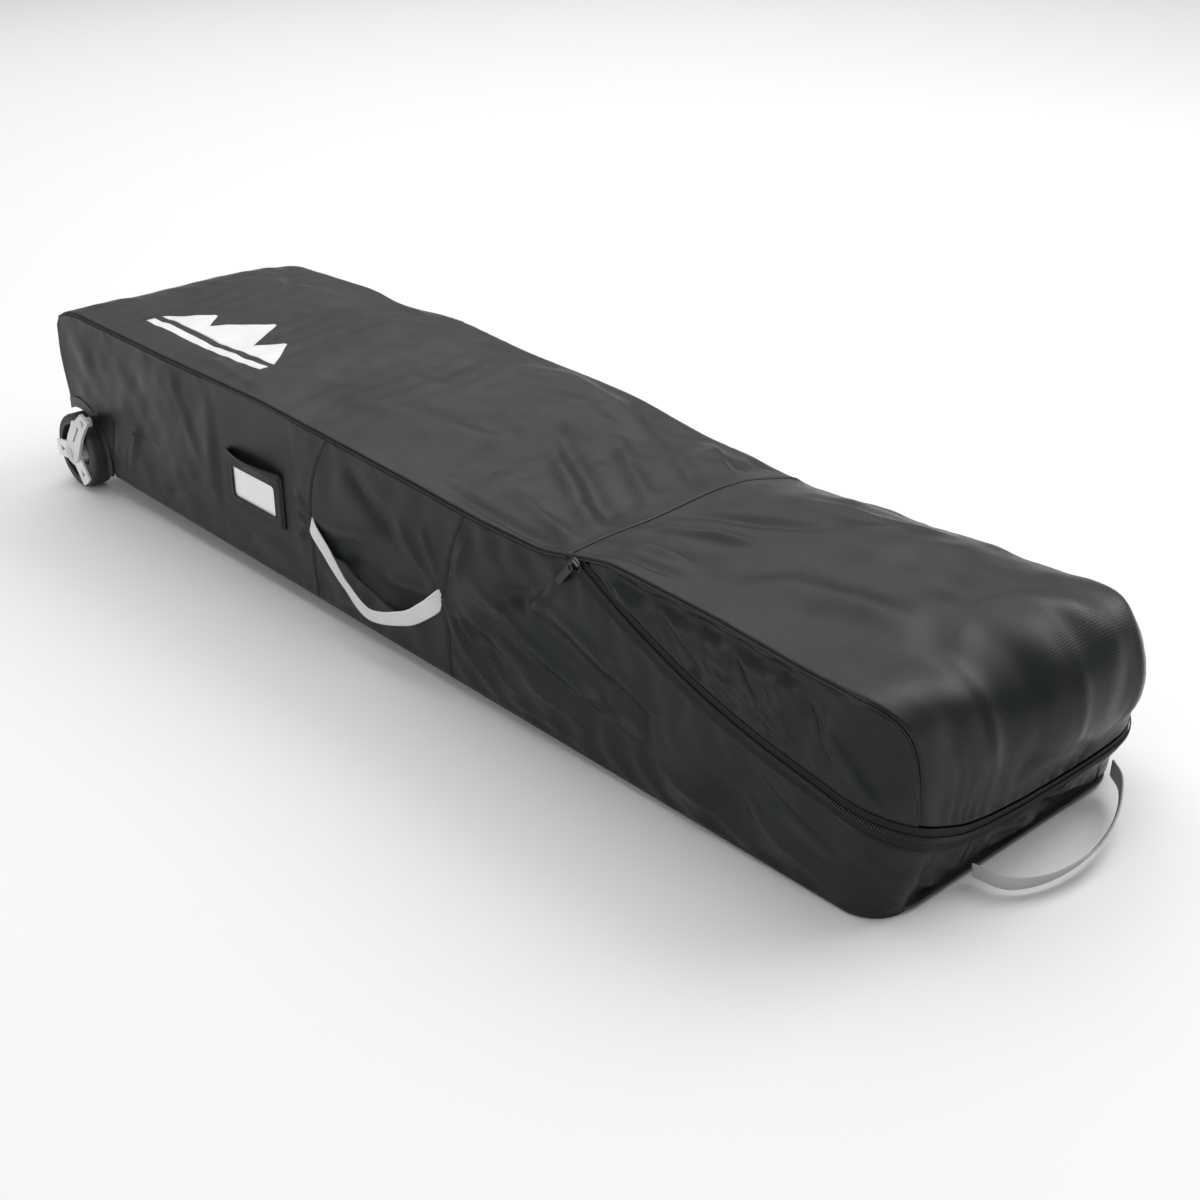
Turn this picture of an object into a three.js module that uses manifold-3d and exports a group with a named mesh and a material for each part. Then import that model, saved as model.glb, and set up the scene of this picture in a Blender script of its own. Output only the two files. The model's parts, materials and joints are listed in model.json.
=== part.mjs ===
// A wheeled snowboard bag: a padded fabric shell with a zipped front lid, two wheels at the rear
// corners, a side handle, a nose handle and an identity-card pocket.
//
// Millimetres, +Z up, +X from the wheels to the nose. The bag stands on its wheels and on the bottom
// edge of its nose, so the shell is modelled level and the whole group is then tilted about Y.
// In the shell's own frame, z = 0 is the flat bottom and y = 0 is the plane half way across.
import * as THREE from "three";
import { mergeVertices } from "three/addons/utils/BufferGeometryUtils.js";
import Module from "manifold-3d";

const wasm = await Module();
wasm.setup();

// Driving dimensions of the shell
const REAR_X = -833;
const NOSE_X = 845;
const HALF_WIDTH = 218;
const CORNER_RADIUS = 60;
const REAR_CORNER_RADIUS = 14;
const SIDE_TOP = 254;
const NOSE_WRAP_RADIUS = 80;
const CROWN = 22;
const REAR_CROWN = 12;
const FABRIC = 5;
const FLOOR = 6;
const SEAM_GAP = 0.3;

// Facets: steps of the wall along its outline, and of the top panels
const STEPS = { side: 9, corner: 6, nose: 6 };
const TOP_COLUMNS = 8;
const TOP_ROWS = 9;
const LID_ROWS = { flat: 7, arc: 6, drop: 2 };
const WHEEL_SIDES = 32;

// Seams, along the side
const REAR_SEAM_X = -143;
const FRONT_SEAM_X = 150;
const LID_SEAM_X = 375;
const NOSE_SEAM_Y_NEAR = -83;
const NOSE_SEAM_Y_FAR = 158;

// The zip: an arc along each side, then down round the corner and across the nose
const ZIP_START = 381;
const GUSSET_START = 412;
const SLIDER_S = ZIP_START + 11;
const ZIP_ARC = { x: 866.5, z: 1102.4, radius: 979.1, end: 740 };
const ZIP_TAPE = 11;
const ZIP_TEETH = 3.5;
const ZIP_NOSE_HEIGHT = 56;
const SLIDER = { halfLength: 9, halfWidth: 5.5, thickness: 2.6, ears: 3.6, height: 6 };
const TAB = { length: 40, width: 9, thickness: 1.6, lean: 50, y: -HALF_WIDTH - 9 };

// Wheels and their wells
const WHEEL = { x: -802.5, z: 24.5, radius: 60, width: 41, outerY: -243.5 };
const WELL = { cut: 80.3, outer: 74, inner: 69, lip: 86, pad: 12, depthY: -152 };
const TYRE_SIDE = 4;
const RIM_RADIUS = 49;
const RIM_WEB = { outer: 14, inner: 20 };
const HUB_RADIUS = 17;
const BEARING_RADIUS = 11;
const SPOKE = { count: 3, angle: 67, hub: 24, reach: 56.5, root: 15, tip: 14 };
const AXLE_RADIUS = 6;
const ARM = { gap: 0.8, thickness: 5, foot: 8 };
const ARM_TIP = { x: -744.5, z: 90.5 };
const SCREW = { hole: 2.6, shank: 2.2, head: 4.6 };
const CAP_RADIUS = 9;

// Handles
const WEBBING = 25;
const WEBBING_THICKNESS = 2.5;
const SIDE_HANDLE = { z: 126, gap: 3, tilt: 15 };
const NOSE_HANDLE = { z: 33, height: 22, reach: 72, tilt: 3.4, yNear: -84, yFar: 168 };

// The identity-card pocket
const POCKET = { x: -283, z: 119.5, width: 143, height: 83 };
const WINDOW = { width: 109, height: 46, radius: 6, lift: -4 };
const CARD = { width: 111, height: 60, thickness: 0.9 };

// Inside the bag
const STIFFENER = 3;
const FOAM = 8;
const BOARD_STRAPS = { rear: -360, front: 260 };
const BUCKLE = { halfLength: 30, halfWidth: 19, height: 8, slotY: 18 };

// Materials
const CHARCOAL = 0x44494a;
const BLACK = 0x1d2021;
const WEBBING_GREY = 0xd4d6d6;

function finish(color, roughness, metalness = 0) {
  return new THREE.MeshStandardMaterial({ color, roughness, metalness });
}

const shellFabric = () => finish(CHARCOAL, 0.62);
const blackPlastic = () => finish(BLACK, 0.5);
const greyPlastic = () => finish(0xd8dada, 0.45);
const whitePlastic = () => finish(0xe6e7e6, 0.4);
const blackMetal = () => finish(0x2a2c2e, 0.35, 0.9);
const steel = () => finish(0xb8bbbe, 0.28, 1);
const webbing = () => finish(WEBBING_GREY, 0.8);
const rubber = () => finish(0x2c2e2f, 0.85);

// Building blocks

function piece(name, geometry, material) {
  const mesh = new THREE.Mesh(geometry, material);
  mesh.name = name;
  return mesh;
}

function toSolid(geometry) {
  const bare = new THREE.BufferGeometry();
  bare.setAttribute("position", geometry.getAttribute("position"));
  bare.setIndex(geometry.index);
  const merged = mergeVertices(bare, 1e-3);
  return new wasm.Manifold(
    new wasm.Mesh({
      numProp: 3,
      vertProperties: new Float32Array(merged.attributes.position.array),
      triVerts: new Uint32Array(merged.index.array),
    }),
  );
}

function toGeometry(solid) {
  const mesh = solid.getMesh();
  const geometry = new THREE.BufferGeometry();
  geometry.setAttribute("position", new THREE.BufferAttribute(new Float32Array(mesh.vertProperties), 3));
  geometry.setIndex(new THREE.BufferAttribute(new Uint32Array(mesh.triVerts), 1));
  geometry.computeVertexNormals();
  return geometry;
}

const join = (...parts) => toGeometry(parts.map(toSolid).reduce((a, b) => a.add(b)));
const cut = (part, ...tools) => {
  return toGeometry(tools.map(toSolid).reduce((a, b) => a.subtract(b), toSolid(part)));
};
const keep = (part, tool) => toGeometry(toSolid(part).intersect(toSolid(tool)));

function box(x0, x1, y0, y1, z0, z1) {
  const geometry = new THREE.BoxGeometry(x1 - x0, y1 - y0, z1 - z0);
  return geometry.translate((x0 + x1) / 2, (y0 + y1) / 2, (z0 + z1) / 2);
}

// A round bar along Y.
function bar(x, z, radius, y0, y1, sides = 20) {
  const geometry = new THREE.CylinderGeometry(radius, radius, y1 - y0, sides);
  return geometry.translate(x, (y0 + y1) / 2, z);
}

// A turned part about the wheel's axle, from [radius, y] points that close on themselves.
function turned(profile) {
  const closed = [...profile, profile[0]].map(([radius, y]) => new THREE.Vector2(radius, y));
  return new THREE.LatheGeometry(closed, WHEEL_SIDES).translate(WHEEL.x, 0, WHEEL.z);
}

// A shape drawn in x and z, made y0 to y1 thick.
function plate(shape, y0, y1, curveSegments = 3) {
  const geometry = new THREE.ExtrudeGeometry(shape, { depth: y1 - y0, bevelEnabled: false, curveSegments });
  return geometry.rotateX(Math.PI / 2).translate(0, y1, 0);
}

function roundedRectangle(x0, x1, y0, y1, radius) {
  const shape = new THREE.Shape();
  shape.absarc(x1 - radius, y1 - radius, radius, 0, Math.PI / 2);
  shape.absarc(x0 + radius, y1 - radius, radius, Math.PI / 2, Math.PI);
  shape.absarc(x0 + radius, y0 + radius, radius, Math.PI, 1.5 * Math.PI);
  shape.absarc(x1 - radius, y0 + radius, radius, 1.5 * Math.PI, 2 * Math.PI);
  return shape;
}

// A slab between an outer and an inner surface, each a grid of point(i, j, depth), depth 0 or 1.
function slab(across, up, point) {
  const positions = [];
  for (const depth of [0, 1])
    for (let i = 0; i <= across; i++)
      for (let j = 0; j <= up; j++) positions.push(...point(i, j, depth));
  const at = (i, j, depth) => (depth * (across + 1) + i) * (up + 1) + j;
  const index = [];
  const quad = (a, b, c, d) => index.push(a, b, c, a, c, d);
  for (let i = 0; i < across; i++)
    for (let j = 0; j < up; j++) {
      quad(at(i, j, 0), at(i + 1, j, 0), at(i + 1, j + 1, 0), at(i, j + 1, 0));
      quad(at(i, j, 1), at(i, j + 1, 1), at(i + 1, j + 1, 1), at(i + 1, j, 1));
    }
  for (let i = 0; i < across; i++) {
    quad(at(i, 0, 1), at(i + 1, 0, 1), at(i + 1, 0, 0), at(i, 0, 0));
    quad(at(i, up, 0), at(i + 1, up, 0), at(i + 1, up, 1), at(i, up, 1));
  }
  for (let j = 0; j < up; j++) {
    quad(at(0, j, 0), at(0, j + 1, 0), at(0, j + 1, 1), at(0, j, 1));
    quad(at(across, j, 1), at(across, j + 1, 1), at(across, j + 1, 0), at(across, j, 0));
  }
  const geometry = new THREE.BufferGeometry();
  geometry.setAttribute("position", new THREE.Float32BufferAttribute(positions, 3));
  geometry.setIndex(index);
  geometry.computeVertexNormals();
  return geometry;
}

// The shell's outline in plan, walked from the rear near corner along the near side and across the
// nose: s equals x along the side.
const CORNER_START = NOSE_X - CORNER_RADIUS;
const CORNER_END = CORNER_START + (CORNER_RADIUS * Math.PI) / 2;
const NOSE_HALF = HALF_WIDTH - CORNER_RADIUS;
const NOSE_MIDDLE = CORNER_END + NOSE_HALF;

function outline(s, inset) {
  if (s > NOSE_MIDDLE) {
    const [x, y] = outline(2 * NOSE_MIDDLE - s, inset);
    return [x, -y];
  }
  if (s <= CORNER_START) return [s, -HALF_WIDTH + inset];
  if (s >= CORNER_END) return [NOSE_X - inset, s - CORNER_END - NOSE_HALF];
  const angle = (s - CORNER_START) / CORNER_RADIUS;
  const radius = CORNER_RADIUS - inset;
  return [CORNER_START + radius * Math.sin(angle), -NOSE_HALF - radius * Math.cos(angle)];
}

const arcHeight = (s) => ZIP_ARC.z - Math.sqrt(ZIP_ARC.radius ** 2 - (s - ZIP_ARC.x) ** 2);
const ZIP_CURVE = new THREE.SplineCurve(
  [
    ...[ZIP_START - 60, ZIP_START, 520, 640, ZIP_ARC.end].map((s) => [s, arcHeight(s)]),
    [CORNER_START + 5, 124],
    [(CORNER_START + CORNER_END) / 2, 106],
    [CORNER_END, 84],
    [CORNER_END + 50, 68],
    [NOSE_MIDDLE, ZIP_NOSE_HEIGHT],
    [2 * NOSE_MIDDLE - CORNER_END - 50, 68],
  ].map(([s, z]) => new THREE.Vector2(s, z)),
);

// Height of the middle of the zip where the outline has been walked s.
function zipHeight(s) {
  if (s > NOSE_MIDDLE) return zipHeight(2 * NOSE_MIDDLE - s);
  if (s <= ZIP_ARC.end) return arcHeight(s);
  let low = 0;
  let high = 1;
  for (let step = 0; step < 30; step++) {
    const middle = (low + high) / 2;
    if (ZIP_CURVE.getPoint(middle).x < s) low = middle;
    else high = middle;
  }
  return ZIP_CURVE.getPoint(low).y;
}

// Places along the outline where every wall piece has a joint between its facets, so that pieces
// that meet along a curve share the same facets.
function stations() {
  const half = [];
  const stretch = (from, to, steps) => {
    for (let i = 0; i < steps; i++) half.push(from + ((to - from) * i) / steps);
  };
  stretch(GUSSET_START, CORNER_START, STEPS.side);
  stretch(CORNER_START, CORNER_END, STEPS.corner);
  stretch(CORNER_END, NOSE_MIDDLE, STEPS.nose);
  return [...half, NOSE_MIDDLE, ...half.map((s) => 2 * NOSE_MIDDLE - s).reverse()];
}

// A stretch of the wall from s0 to s1, between two heights and two depths below the outer surface.
function wall(s0, s1, bottom, top, outer = 0, inner = FABRIC) {
  const places = [s0, ...stations().filter((s) => s > s0 + 1 && s < s1 - 1), s1];
  return slab(places.length - 1, 1, (i, j, depth) => {
    const [x, y] = outline(places[i], depth ? inner : outer);
    return [x, y, j ? top(places[i]) : bottom(places[i])];
  });
}

const level = (z) => () => z;
const aboveZip = (offset) => (s) => zipHeight(s) + offset;
const WALL_BOTTOM = level(FLOOR + SEAM_GAP);
const WALL_TOP = level(SIDE_TOP - SEAM_GAP);
const TAPE_EDGE = ZIP_TAPE + SEAM_GAP;

const WELL_CUT = bar(WHEEL.x, WHEEL.z, WELL.cut, -HALF_WIDTH - 20, WELL.depthY + 2, WHEEL_SIDES);
const mirrored = (geometry) => toGeometry(toSolid(geometry).mirror([0, 1, 0]));

// Everything above the lower zip tape and ahead of the lid seam: the space of the lid and its zip.
function lidSpace() {
  const bottom = aboveZip(-TAPE_EDGE - SEAM_GAP);
  return wall(ZIP_START - SEAM_GAP, NOSE_MIDDLE, bottom, level(SIDE_TOP + 40), -1, FABRIC + 1);
}

function sideRearPanel() {
  const panel = wall(REAR_X, REAR_SEAM_X - SEAM_GAP / 2, WALL_BOTTOM, WALL_TOP);
  return cut(panel, WELL_CUT);
}

function sideMiddlePanel() {
  return wall(REAR_SEAM_X + SEAM_GAP / 2, FRONT_SEAM_X - SEAM_GAP / 2, WALL_BOTTOM, WALL_TOP);
}

function sideFrontPanel(end) {
  return cut(wall(FRONT_SEAM_X + SEAM_GAP / 2, end, WALL_BOTTOM, WALL_TOP), lidSpace());
}

function noseLowerPanel() {
  const start = CORNER_END + NOSE_SEAM_Y_NEAR + NOSE_HALF + SEAM_GAP / 2;
  const end = CORNER_END + NOSE_SEAM_Y_FAR + NOSE_HALF - SEAM_GAP / 2;
  return wall(start, end, WALL_BOTTOM, aboveZip(-TAPE_EDGE));
}

function wheelEndPanel() {
  const half = HALF_WIDTH - FABRIC - SEAM_GAP;
  const panel = box(REAR_X, REAR_X + FABRIC, -half, half, FLOOR + SEAM_GAP, SIDE_TOP - SEAM_GAP);
  return cut(panel, WELL_CUT, mirrored(WELL_CUT));
}

function shellPlan(inset) {
  const radius = CORNER_RADIUS - inset;
  const half = HALF_WIDTH - inset;
  const rear = REAR_X + inset;
  const shape = new THREE.Shape();
  shape.absarc(CORNER_START, -half + radius, radius, -Math.PI / 2, 0);
  shape.absarc(CORNER_START, half - radius, radius, 0, Math.PI / 2);
  const small = REAR_CORNER_RADIUS;
  shape.absarc(rear + small, half - small, small, Math.PI / 2, Math.PI);
  shape.absarc(rear + small, -half + small, small, Math.PI, 1.5 * Math.PI);
  return shape;
}

// A flat layer of the base that follows the shell's plan, with room for the wheel wells.
function baseLayer(inset, z, thickness) {
  const options = { depth: thickness, bevelEnabled: false, curveSegments: STEPS.corner };
  const layer = new THREE.ExtrudeGeometry(shellPlan(inset), options).translate(0, 0, z);
  return cut(layer, WELL_CUT, mirrored(WELL_CUT));
}

// How far the middle of the top stands above its two sides.
function crownHeight(x) {
  const rise = THREE.MathUtils.smoothstep(x, REAR_X, REAR_X + 260);
  const fall = 1 - THREE.MathUtils.smoothstep(x, 600, CORNER_START);
  return REAR_CROWN + (CROWN - REAR_CROWN) * rise * fall;
}

function topRearPanel() {
  const length = LID_SEAM_X - SEAM_GAP - REAR_X;
  return slab(TOP_ROWS, TOP_COLUMNS, (i, j, depth) => {
    const x = REAR_X + (length * i) / TOP_ROWS;
    const side = (2 * j) / TOP_COLUMNS - 1;
    const inset = depth ? FABRIC : 0;
    return [x, HALF_WIDTH * side, SIDE_TOP + FABRIC - inset + crownHeight(x) * (1 - side * side)];
  });
}

// The lid's top runs forward, over the nose and down to the upper zip tape.
const WRAP_START = NOSE_X - NOSE_WRAP_RADIUS;

function lidTopPanel() {
  const rows = LID_ROWS.flat + LID_ROWS.arc + LID_ROWS.drop;
  const arcEnd = LID_ROWS.flat + LID_ROWS.arc;
  return slab(rows, TOP_COLUMNS, (row, j, depth) => {
    const side = (2 * j) / TOP_COLUMNS - 1;
    const offset = depth ? 0 : FABRIC;
    const dome = 1 - side * side;
    if (row <= LID_ROWS.flat) {
      const x = LID_SEAM_X + SEAM_GAP + (WRAP_START - LID_SEAM_X - SEAM_GAP) * (row / LID_ROWS.flat);
      return [x, HALF_WIDTH * side, SIDE_TOP + offset + crownHeight(x) * dome];
    }
    const turn = Math.min(1, (row - LID_ROWS.flat) / LID_ROWS.arc) * (Math.PI / 2);
    const fade = crownHeight(WRAP_START) * dome * Math.cos(turn / 2) ** 2;
    const radius = NOSE_WRAP_RADIUS + offset + fade;
    const innerX = WRAP_START + NOSE_WRAP_RADIUS * Math.sin(turn);
    const y = side * lidHalfWidth(innerX);
    const x = WRAP_START + radius * Math.sin(turn);
    const top = SIDE_TOP - NOSE_WRAP_RADIUS;
    if (row <= arcEnd) return [x, y, top + radius * Math.cos(turn)];
    const bottom = zipHeight(CORNER_END + NOSE_HALF + y) + TAPE_EDGE;
    return [x, y, top + (bottom - top) * ((row - arcEnd) / LID_ROWS.drop)];
  });
}

// Half the lid's width where its inner surface has reached x.
function lidHalfWidth(x) {
  const past = Math.max(0, x - CORNER_START);
  return NOSE_HALF + Math.sqrt(Math.max(0, CORNER_RADIUS ** 2 - past ** 2)) - SEAM_GAP;
}

// Under the lid's top, the gusset's upper edge follows the wrap over the nose.
function gussetTop(s) {
  const [x] = outline(s, 0);
  const past = Math.max(0, Math.min(NOSE_WRAP_RADIUS, x - WRAP_START));
  const drop = NOSE_WRAP_RADIUS - Math.sqrt(NOSE_WRAP_RADIUS ** 2 - past ** 2);
  return SIDE_TOP - 4 * SEAM_GAP - drop;
}

function lidGusset() {
  return wall(GUSSET_START, CORNER_END, aboveZip(TAPE_EDGE), gussetTop);
}

function zipBand(low, high, outer, inner) {
  const end = 2 * NOSE_MIDDLE - ZIP_START;
  const band = wall(ZIP_START, end, aboveZip(low), aboveZip(high), outer, inner);
  return keep(band, box(0, NOSE_X + 50, -HALF_WIDTH - 50, HALF_WIDTH + 50, 0, SIDE_TOP - SEAM_GAP));
}

function zipStop() {
  const s = ZIP_START - 4.5;
  return wall(s, s + 4, aboveZip(-3), aboveZip(3), -3.2, -SEAM_GAP);
}

// A band of webbing: a planar curve given a width in its own plane.
function bandShape(points, width) {
  const curve = new THREE.SplineCurve(points.map(([a, b]) => new THREE.Vector2(a, b)));
  const steps = 18;
  const sides = [[], []];
  for (let i = 0; i <= steps; i++) {
    const at = curve.getPoint(i / steps);
    const along = curve.getTangent(i / steps);
    const across = new THREE.Vector2(-along.y, along.x).multiplyScalar(width / 2);
    sides[0].push(at.clone().sub(across));
    sides[1].push(at.clone().add(across));
  }
  return new THREE.Shape([...sides[0], ...sides[1].reverse()]);
}

// The side handle hangs from the two vertical side seams, leaning out from the wall.
function sideHandle() {
  const points = [
    [REAR_SEAM_X + 1, -12],
    [-103, -31],
    [-46, -62],
    [14, -82],
    [83, -63],
    [122, -37],
    [FRONT_SEAM_X - 7, -14],
  ];
  const loop = plate(bandShape(points, WEBBING), -WEBBING_THICKNESS, 0);
  const strap = piece("side_handle_strap", loop, webbing());
  strap.position.set(0, -HALF_WIDTH - SIDE_HANDLE.gap, SIDE_HANDLE.z);
  strap.rotation.x = THREE.MathUtils.degToRad(-SIDE_HANDLE.tilt);
  return strap;
}

// The nose handle is a loop of webbing on edge, lying forward of the nose and a little higher at its
// far end.
function noseHandle() {
  const root = NOSE_X + 2;
  const points = [
    [root, NOSE_HANDLE.yNear],
    [root + 38, -77],
    [root + 62, -42],
    [root + NOSE_HANDLE.reach - 2, 8],
    [root + 64, 58],
    [root + 48, 106],
    [root + 24, 148],
    [root, NOSE_HANDLE.yFar],
  ];
  const options = { depth: NOSE_HANDLE.height, bevelEnabled: false };
  const loop = new THREE.ExtrudeGeometry(bandShape(points, WEBBING_THICKNESS), options);
  const strap = piece("nose_handle_strap", loop, webbing());
  loop.translate(0, 0, -NOSE_HANDLE.height);
  strap.rotation.x = THREE.MathUtils.degToRad(NOSE_HANDLE.tilt);
  strap.position.z = NOSE_HANDLE.z;
  return strap;
}

// The identity-card pocket: a frame open at the top, a clear film behind its window, and the card.
function cardPocket() {
  const group = new THREE.Group();
  const left = POCKET.x - POCKET.width / 2;
  const right = POCKET.x + POCKET.width / 2;
  const low = POCKET.z - POCKET.height / 2;
  const high = POCKET.z + POCKET.height / 2;
  const skin = -HALF_WIDTH - SEAM_GAP;
  const cardFace = skin - SEAM_GAP - CARD.thickness;
  const filmFace = cardFace - SEAM_GAP - 0.5;
  const face = roundedRectangle(left, right, low, high, 5);
  const middle = POCKET.z + WINDOW.lift;
  const hole = roundedRectangle(
    POCKET.x - WINDOW.width / 2,
    POCKET.x + WINDOW.width / 2,
    middle - WINDOW.height / 2,
    middle + WINDOW.height / 2,
    WINDOW.radius,
  );
  const front = plate(face, filmFace - 2.2, filmFace - SEAM_GAP);
  const rim = plate(face, filmFace - 1, skin);
  const well = box(left + 12, right - 12, filmFace - 5, skin + 5, low + 12, high + 5);
  const frame = cut(join(front, cut(rim, well)), plate(hole, filmFace - 5, filmFace + 5));
  group.add(piece("id_pocket_frame", frame, shellFabric()));
  const film = box(left + 13, right - 13, filmFace, filmFace + 0.5, low + 13, high - 9);
  group.add(piece("id_window_film", film, finish(0xf4f6f6, 0.1)));
  const card = roundedRectangle(
    POCKET.x - CARD.width / 2,
    POCKET.x + CARD.width / 2,
    low + 12.5,
    low + 12.5 + CARD.height,
    3,
  );
  group.add(piece("id_card", plate(card, cardFace, cardFace + CARD.thickness), finish(0xf2f2ef, 0.7)));
  return group;
}

// The slider runs on the teeth; its pull tab hangs from the bridge.
function zipSlider() {
  const s = SLIDER_S;
  const y = -HALF_WIDTH - 1.5 - SEAM_GAP;
  const top = y - SLIDER.height;
  const slope = Math.atan2(zipHeight(s + 5) - zipHeight(s - 5), 10);
  const { halfLength, halfWidth } = SLIDER;
  const footprint = roundedRectangle(-halfLength, halfLength, -halfWidth, halfWidth, 4);
  const body = plate(footprint, y - SLIDER.thickness, y);
  const ear = (z) => box(-5, 5, top, y - 2, z - 1, z + 1);
  const bridge = box(-1.2, 1.2, top, top + 1.4, -SLIDER.ears, SLIDER.ears);
  const solid = join(body, ear(-SLIDER.ears), ear(SLIDER.ears), bridge);
  const slider = piece("zip_slider", solid, blackMetal());
  slider.rotation.y = -slope;
  slider.position.set(s, 0, zipHeight(s));
  return slider;
}

function pullTab() {
  const shape = roundedRectangle(0, TAB.length, -TAB.width / 2, TAB.width / 2, 3.5);
  const slot = roundedRectangle(2, 7, -2.4, 2.4, 1.5);
  shape.holes.push(new THREE.Path(slot.getPoints(2)));
  const half = TAB.thickness / 2;
  const tab = piece("zip_pull_tab", plate(shape, TAB.y - half, TAB.y + half), blackMetal());
  tab.rotation.y = THREE.MathUtils.degToRad(180 - TAB.lean);
  tab.position.set(SLIDER_S - 1, 0, zipHeight(SLIDER_S) + 1);
  return tab;
}

// One wheel with its well, axle and arm, on the near side.

function tyre() {
  const { radius, width, outerY } = WHEEL;
  const shoulder = 7;
  const turns = 3;
  const seat = RIM_RADIUS + SEAM_GAP;
  const face = outerY + TYRE_SIDE;
  const profile = [[seat, face]];
  for (let i = 0; i <= turns; i++) {
    const angle = (i / turns) * (Math.PI / 2);
    const y = face + shoulder - shoulder * Math.cos(angle);
    profile.push([radius - shoulder + shoulder * Math.sin(angle), y]);
  }
  for (let i = 0; i <= turns; i++) {
    const angle = (i / turns) * (Math.PI / 2);
    const y = outerY + width - shoulder + shoulder * Math.sin(angle);
    profile.push([radius - shoulder + shoulder * Math.cos(angle), y]);
  }
  profile.push([seat, outerY + width]);
  return turned(profile);
}

function rim() {
  const outer = WHEEL.outerY;
  const bearingSeat = BEARING_RADIUS + SEAM_GAP;
  const profile = [
    [RIM_RADIUS, outer + TYRE_SIDE],
    [RIM_RADIUS - 4, outer + TYRE_SIDE],
    [RIM_RADIUS - 7, outer + RIM_WEB.outer],
    [HUB_RADIUS, outer + RIM_WEB.outer],
    [HUB_RADIUS, outer + 8],
    [bearingSeat, outer + 8],
    [bearingSeat, outer + 35],
    [HUB_RADIUS, outer + 35],
    [HUB_RADIUS, outer + RIM_WEB.inner],
    [RIM_RADIUS - 7, outer + RIM_WEB.inner],
    [RIM_RADIUS - 4, outer + 37],
    [RIM_RADIUS, outer + 37],
  ];
  return turned(profile.reverse());
}

// Three flared spokes with a triangular window each, on a ring over the hub.
function spokes() {
  const y0 = WHEEL.outerY;
  const y1 = WHEEL.outerY + TYRE_SIDE - SEAM_GAP;
  const { count, angle, hub, reach, root, tip } = SPOKE;
  const arms = [];
  for (let i = 0; i < count; i++) {
    const shape = new THREE.Shape([
      new THREE.Vector2(12, -root),
      new THREE.Vector2(reach - 2, -tip),
      new THREE.Vector2(reach, 0),
      new THREE.Vector2(reach - 2, tip),
      new THREE.Vector2(12, root),
    ]);
    const window = [[30, 0], [43, -6], [43, 6]].map(([a, b]) => new THREE.Vector2(a, b));
    shape.holes.push(new THREE.Path(window));
    const turn = THREE.MathUtils.degToRad(angle + (i * 360) / count);
    arms.push(plate(shape, y0, y1).rotateY(-turn).translate(WHEEL.x, 0, WHEEL.z));
  }
  const collar = bar(WHEEL.x, WHEEL.z, hub, y0, WHEEL.outerY + RIM_WEB.outer - SEAM_GAP);
  const bore = bar(WHEEL.x, WHEEL.z, HUB_RADIUS + 2 * SEAM_GAP, y0 - 4, y1 + 20);
  return cut(join(collar, ...arms), bore);
}

function ring(inner, outer, y0, y1) {
  return cut(bar(WHEEL.x, WHEEL.z, outer, y0, y1), bar(WHEEL.x, WHEEL.z, inner, y0 - 1, y1 + 1));
}

// The moulded well: a fender round the wheel, a back plate with the axle boss, and an outer flange.
function wheelHousing() {
  const { x, z } = WHEEL;
  const back = WELL.depthY;
  const face = -HALF_WIDTH - SEAM_GAP;
  const drum = bar(x, z, WELL.outer, face - 1, back, WHEEL_SIDES);
  const bore = bar(x, z, WELL.inner, face - 20, back - 4, WHEEL_SIDES);
  const flange = bar(x, z, WELL.lip, face - 3.4, face, WHEEL_SIDES);
  const pad = bar(ARM_TIP.x, ARM_TIP.z, WELL.pad, face - 3.4, face, 16);
  const boss = bar(x, z, 13, WHEEL.outerY + WHEEL.width + 3, back - 2);
  const post = bar(ARM_TIP.x, ARM_TIP.z, ARM.foot, WHEEL.outerY + 9, face - 2, 12);
  const shell = cut(join(drum, flange, pad), bore);
  const body = keep(join(shell, post), box(REAR_X - 1, x + 200, -400, 0, 0.5, 200));
  const holes = [
    bar(x, z, AXLE_RADIUS + SEAM_GAP, -300, -100),
    bar(ARM_TIP.x, ARM_TIP.z, SCREW.hole, -300, face - 1, 12),
  ];
  return cut(join(body, boss), ...holes);
}

// The slotted arm that carries the axle's outer end, drawn about the axle.
function axleArm() {
  const y1 = WHEEL.outerY - ARM.gap;
  const y0 = y1 - ARM.thickness;
  const draw = (points) => points.map(([a, b]) => new THREE.Vector2(a, b));
  const eye = [[-15, 1], [-14, -7], [-7, -14], [2, -17], [13, -14], [24, -6], [30, 3]];
  const blade = [[38, 19], [48, 37], [62, 54], [79, 72], [56, 81], [18, 53], [1, 32], [-9, 15]];
  const shape = new THREE.Shape(draw([...eye, ...blade]));
  shape.holes.push(new THREE.Path(draw([[20, 22.5], [44, 53], [40, 56], [16, 25.5]])));
  const foot = [ARM_TIP.x - WHEEL.x, ARM_TIP.z - WHEEL.z];
  const holes = [
    bar(0, 0, AXLE_RADIUS + SEAM_GAP, y0 - 5, y1 + 5),
    bar(...foot, SCREW.hole, y0 - 5, WHEEL.outerY + 20, 12),
  ];
  const post = bar(...foot, ARM.foot, y1 - 1, WHEEL.outerY + 9 - SEAM_GAP, 12);
  return cut(join(plate(shape, y0, y1), post), ...holes).translate(WHEEL.x, 0, WHEEL.z);
}

const ARM_FACE = WHEEL.outerY - ARM.gap - ARM.thickness - SEAM_GAP;

function armScrew() {
  const head = bar(ARM_TIP.x, ARM_TIP.z, SCREW.head, ARM_FACE - 2.4, ARM_FACE, 14);
  const shank = bar(ARM_TIP.x, ARM_TIP.z, SCREW.shank, ARM_FACE - 1, -HALF_WIDTH - 6, 10);
  return join(head, shank);
}

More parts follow.
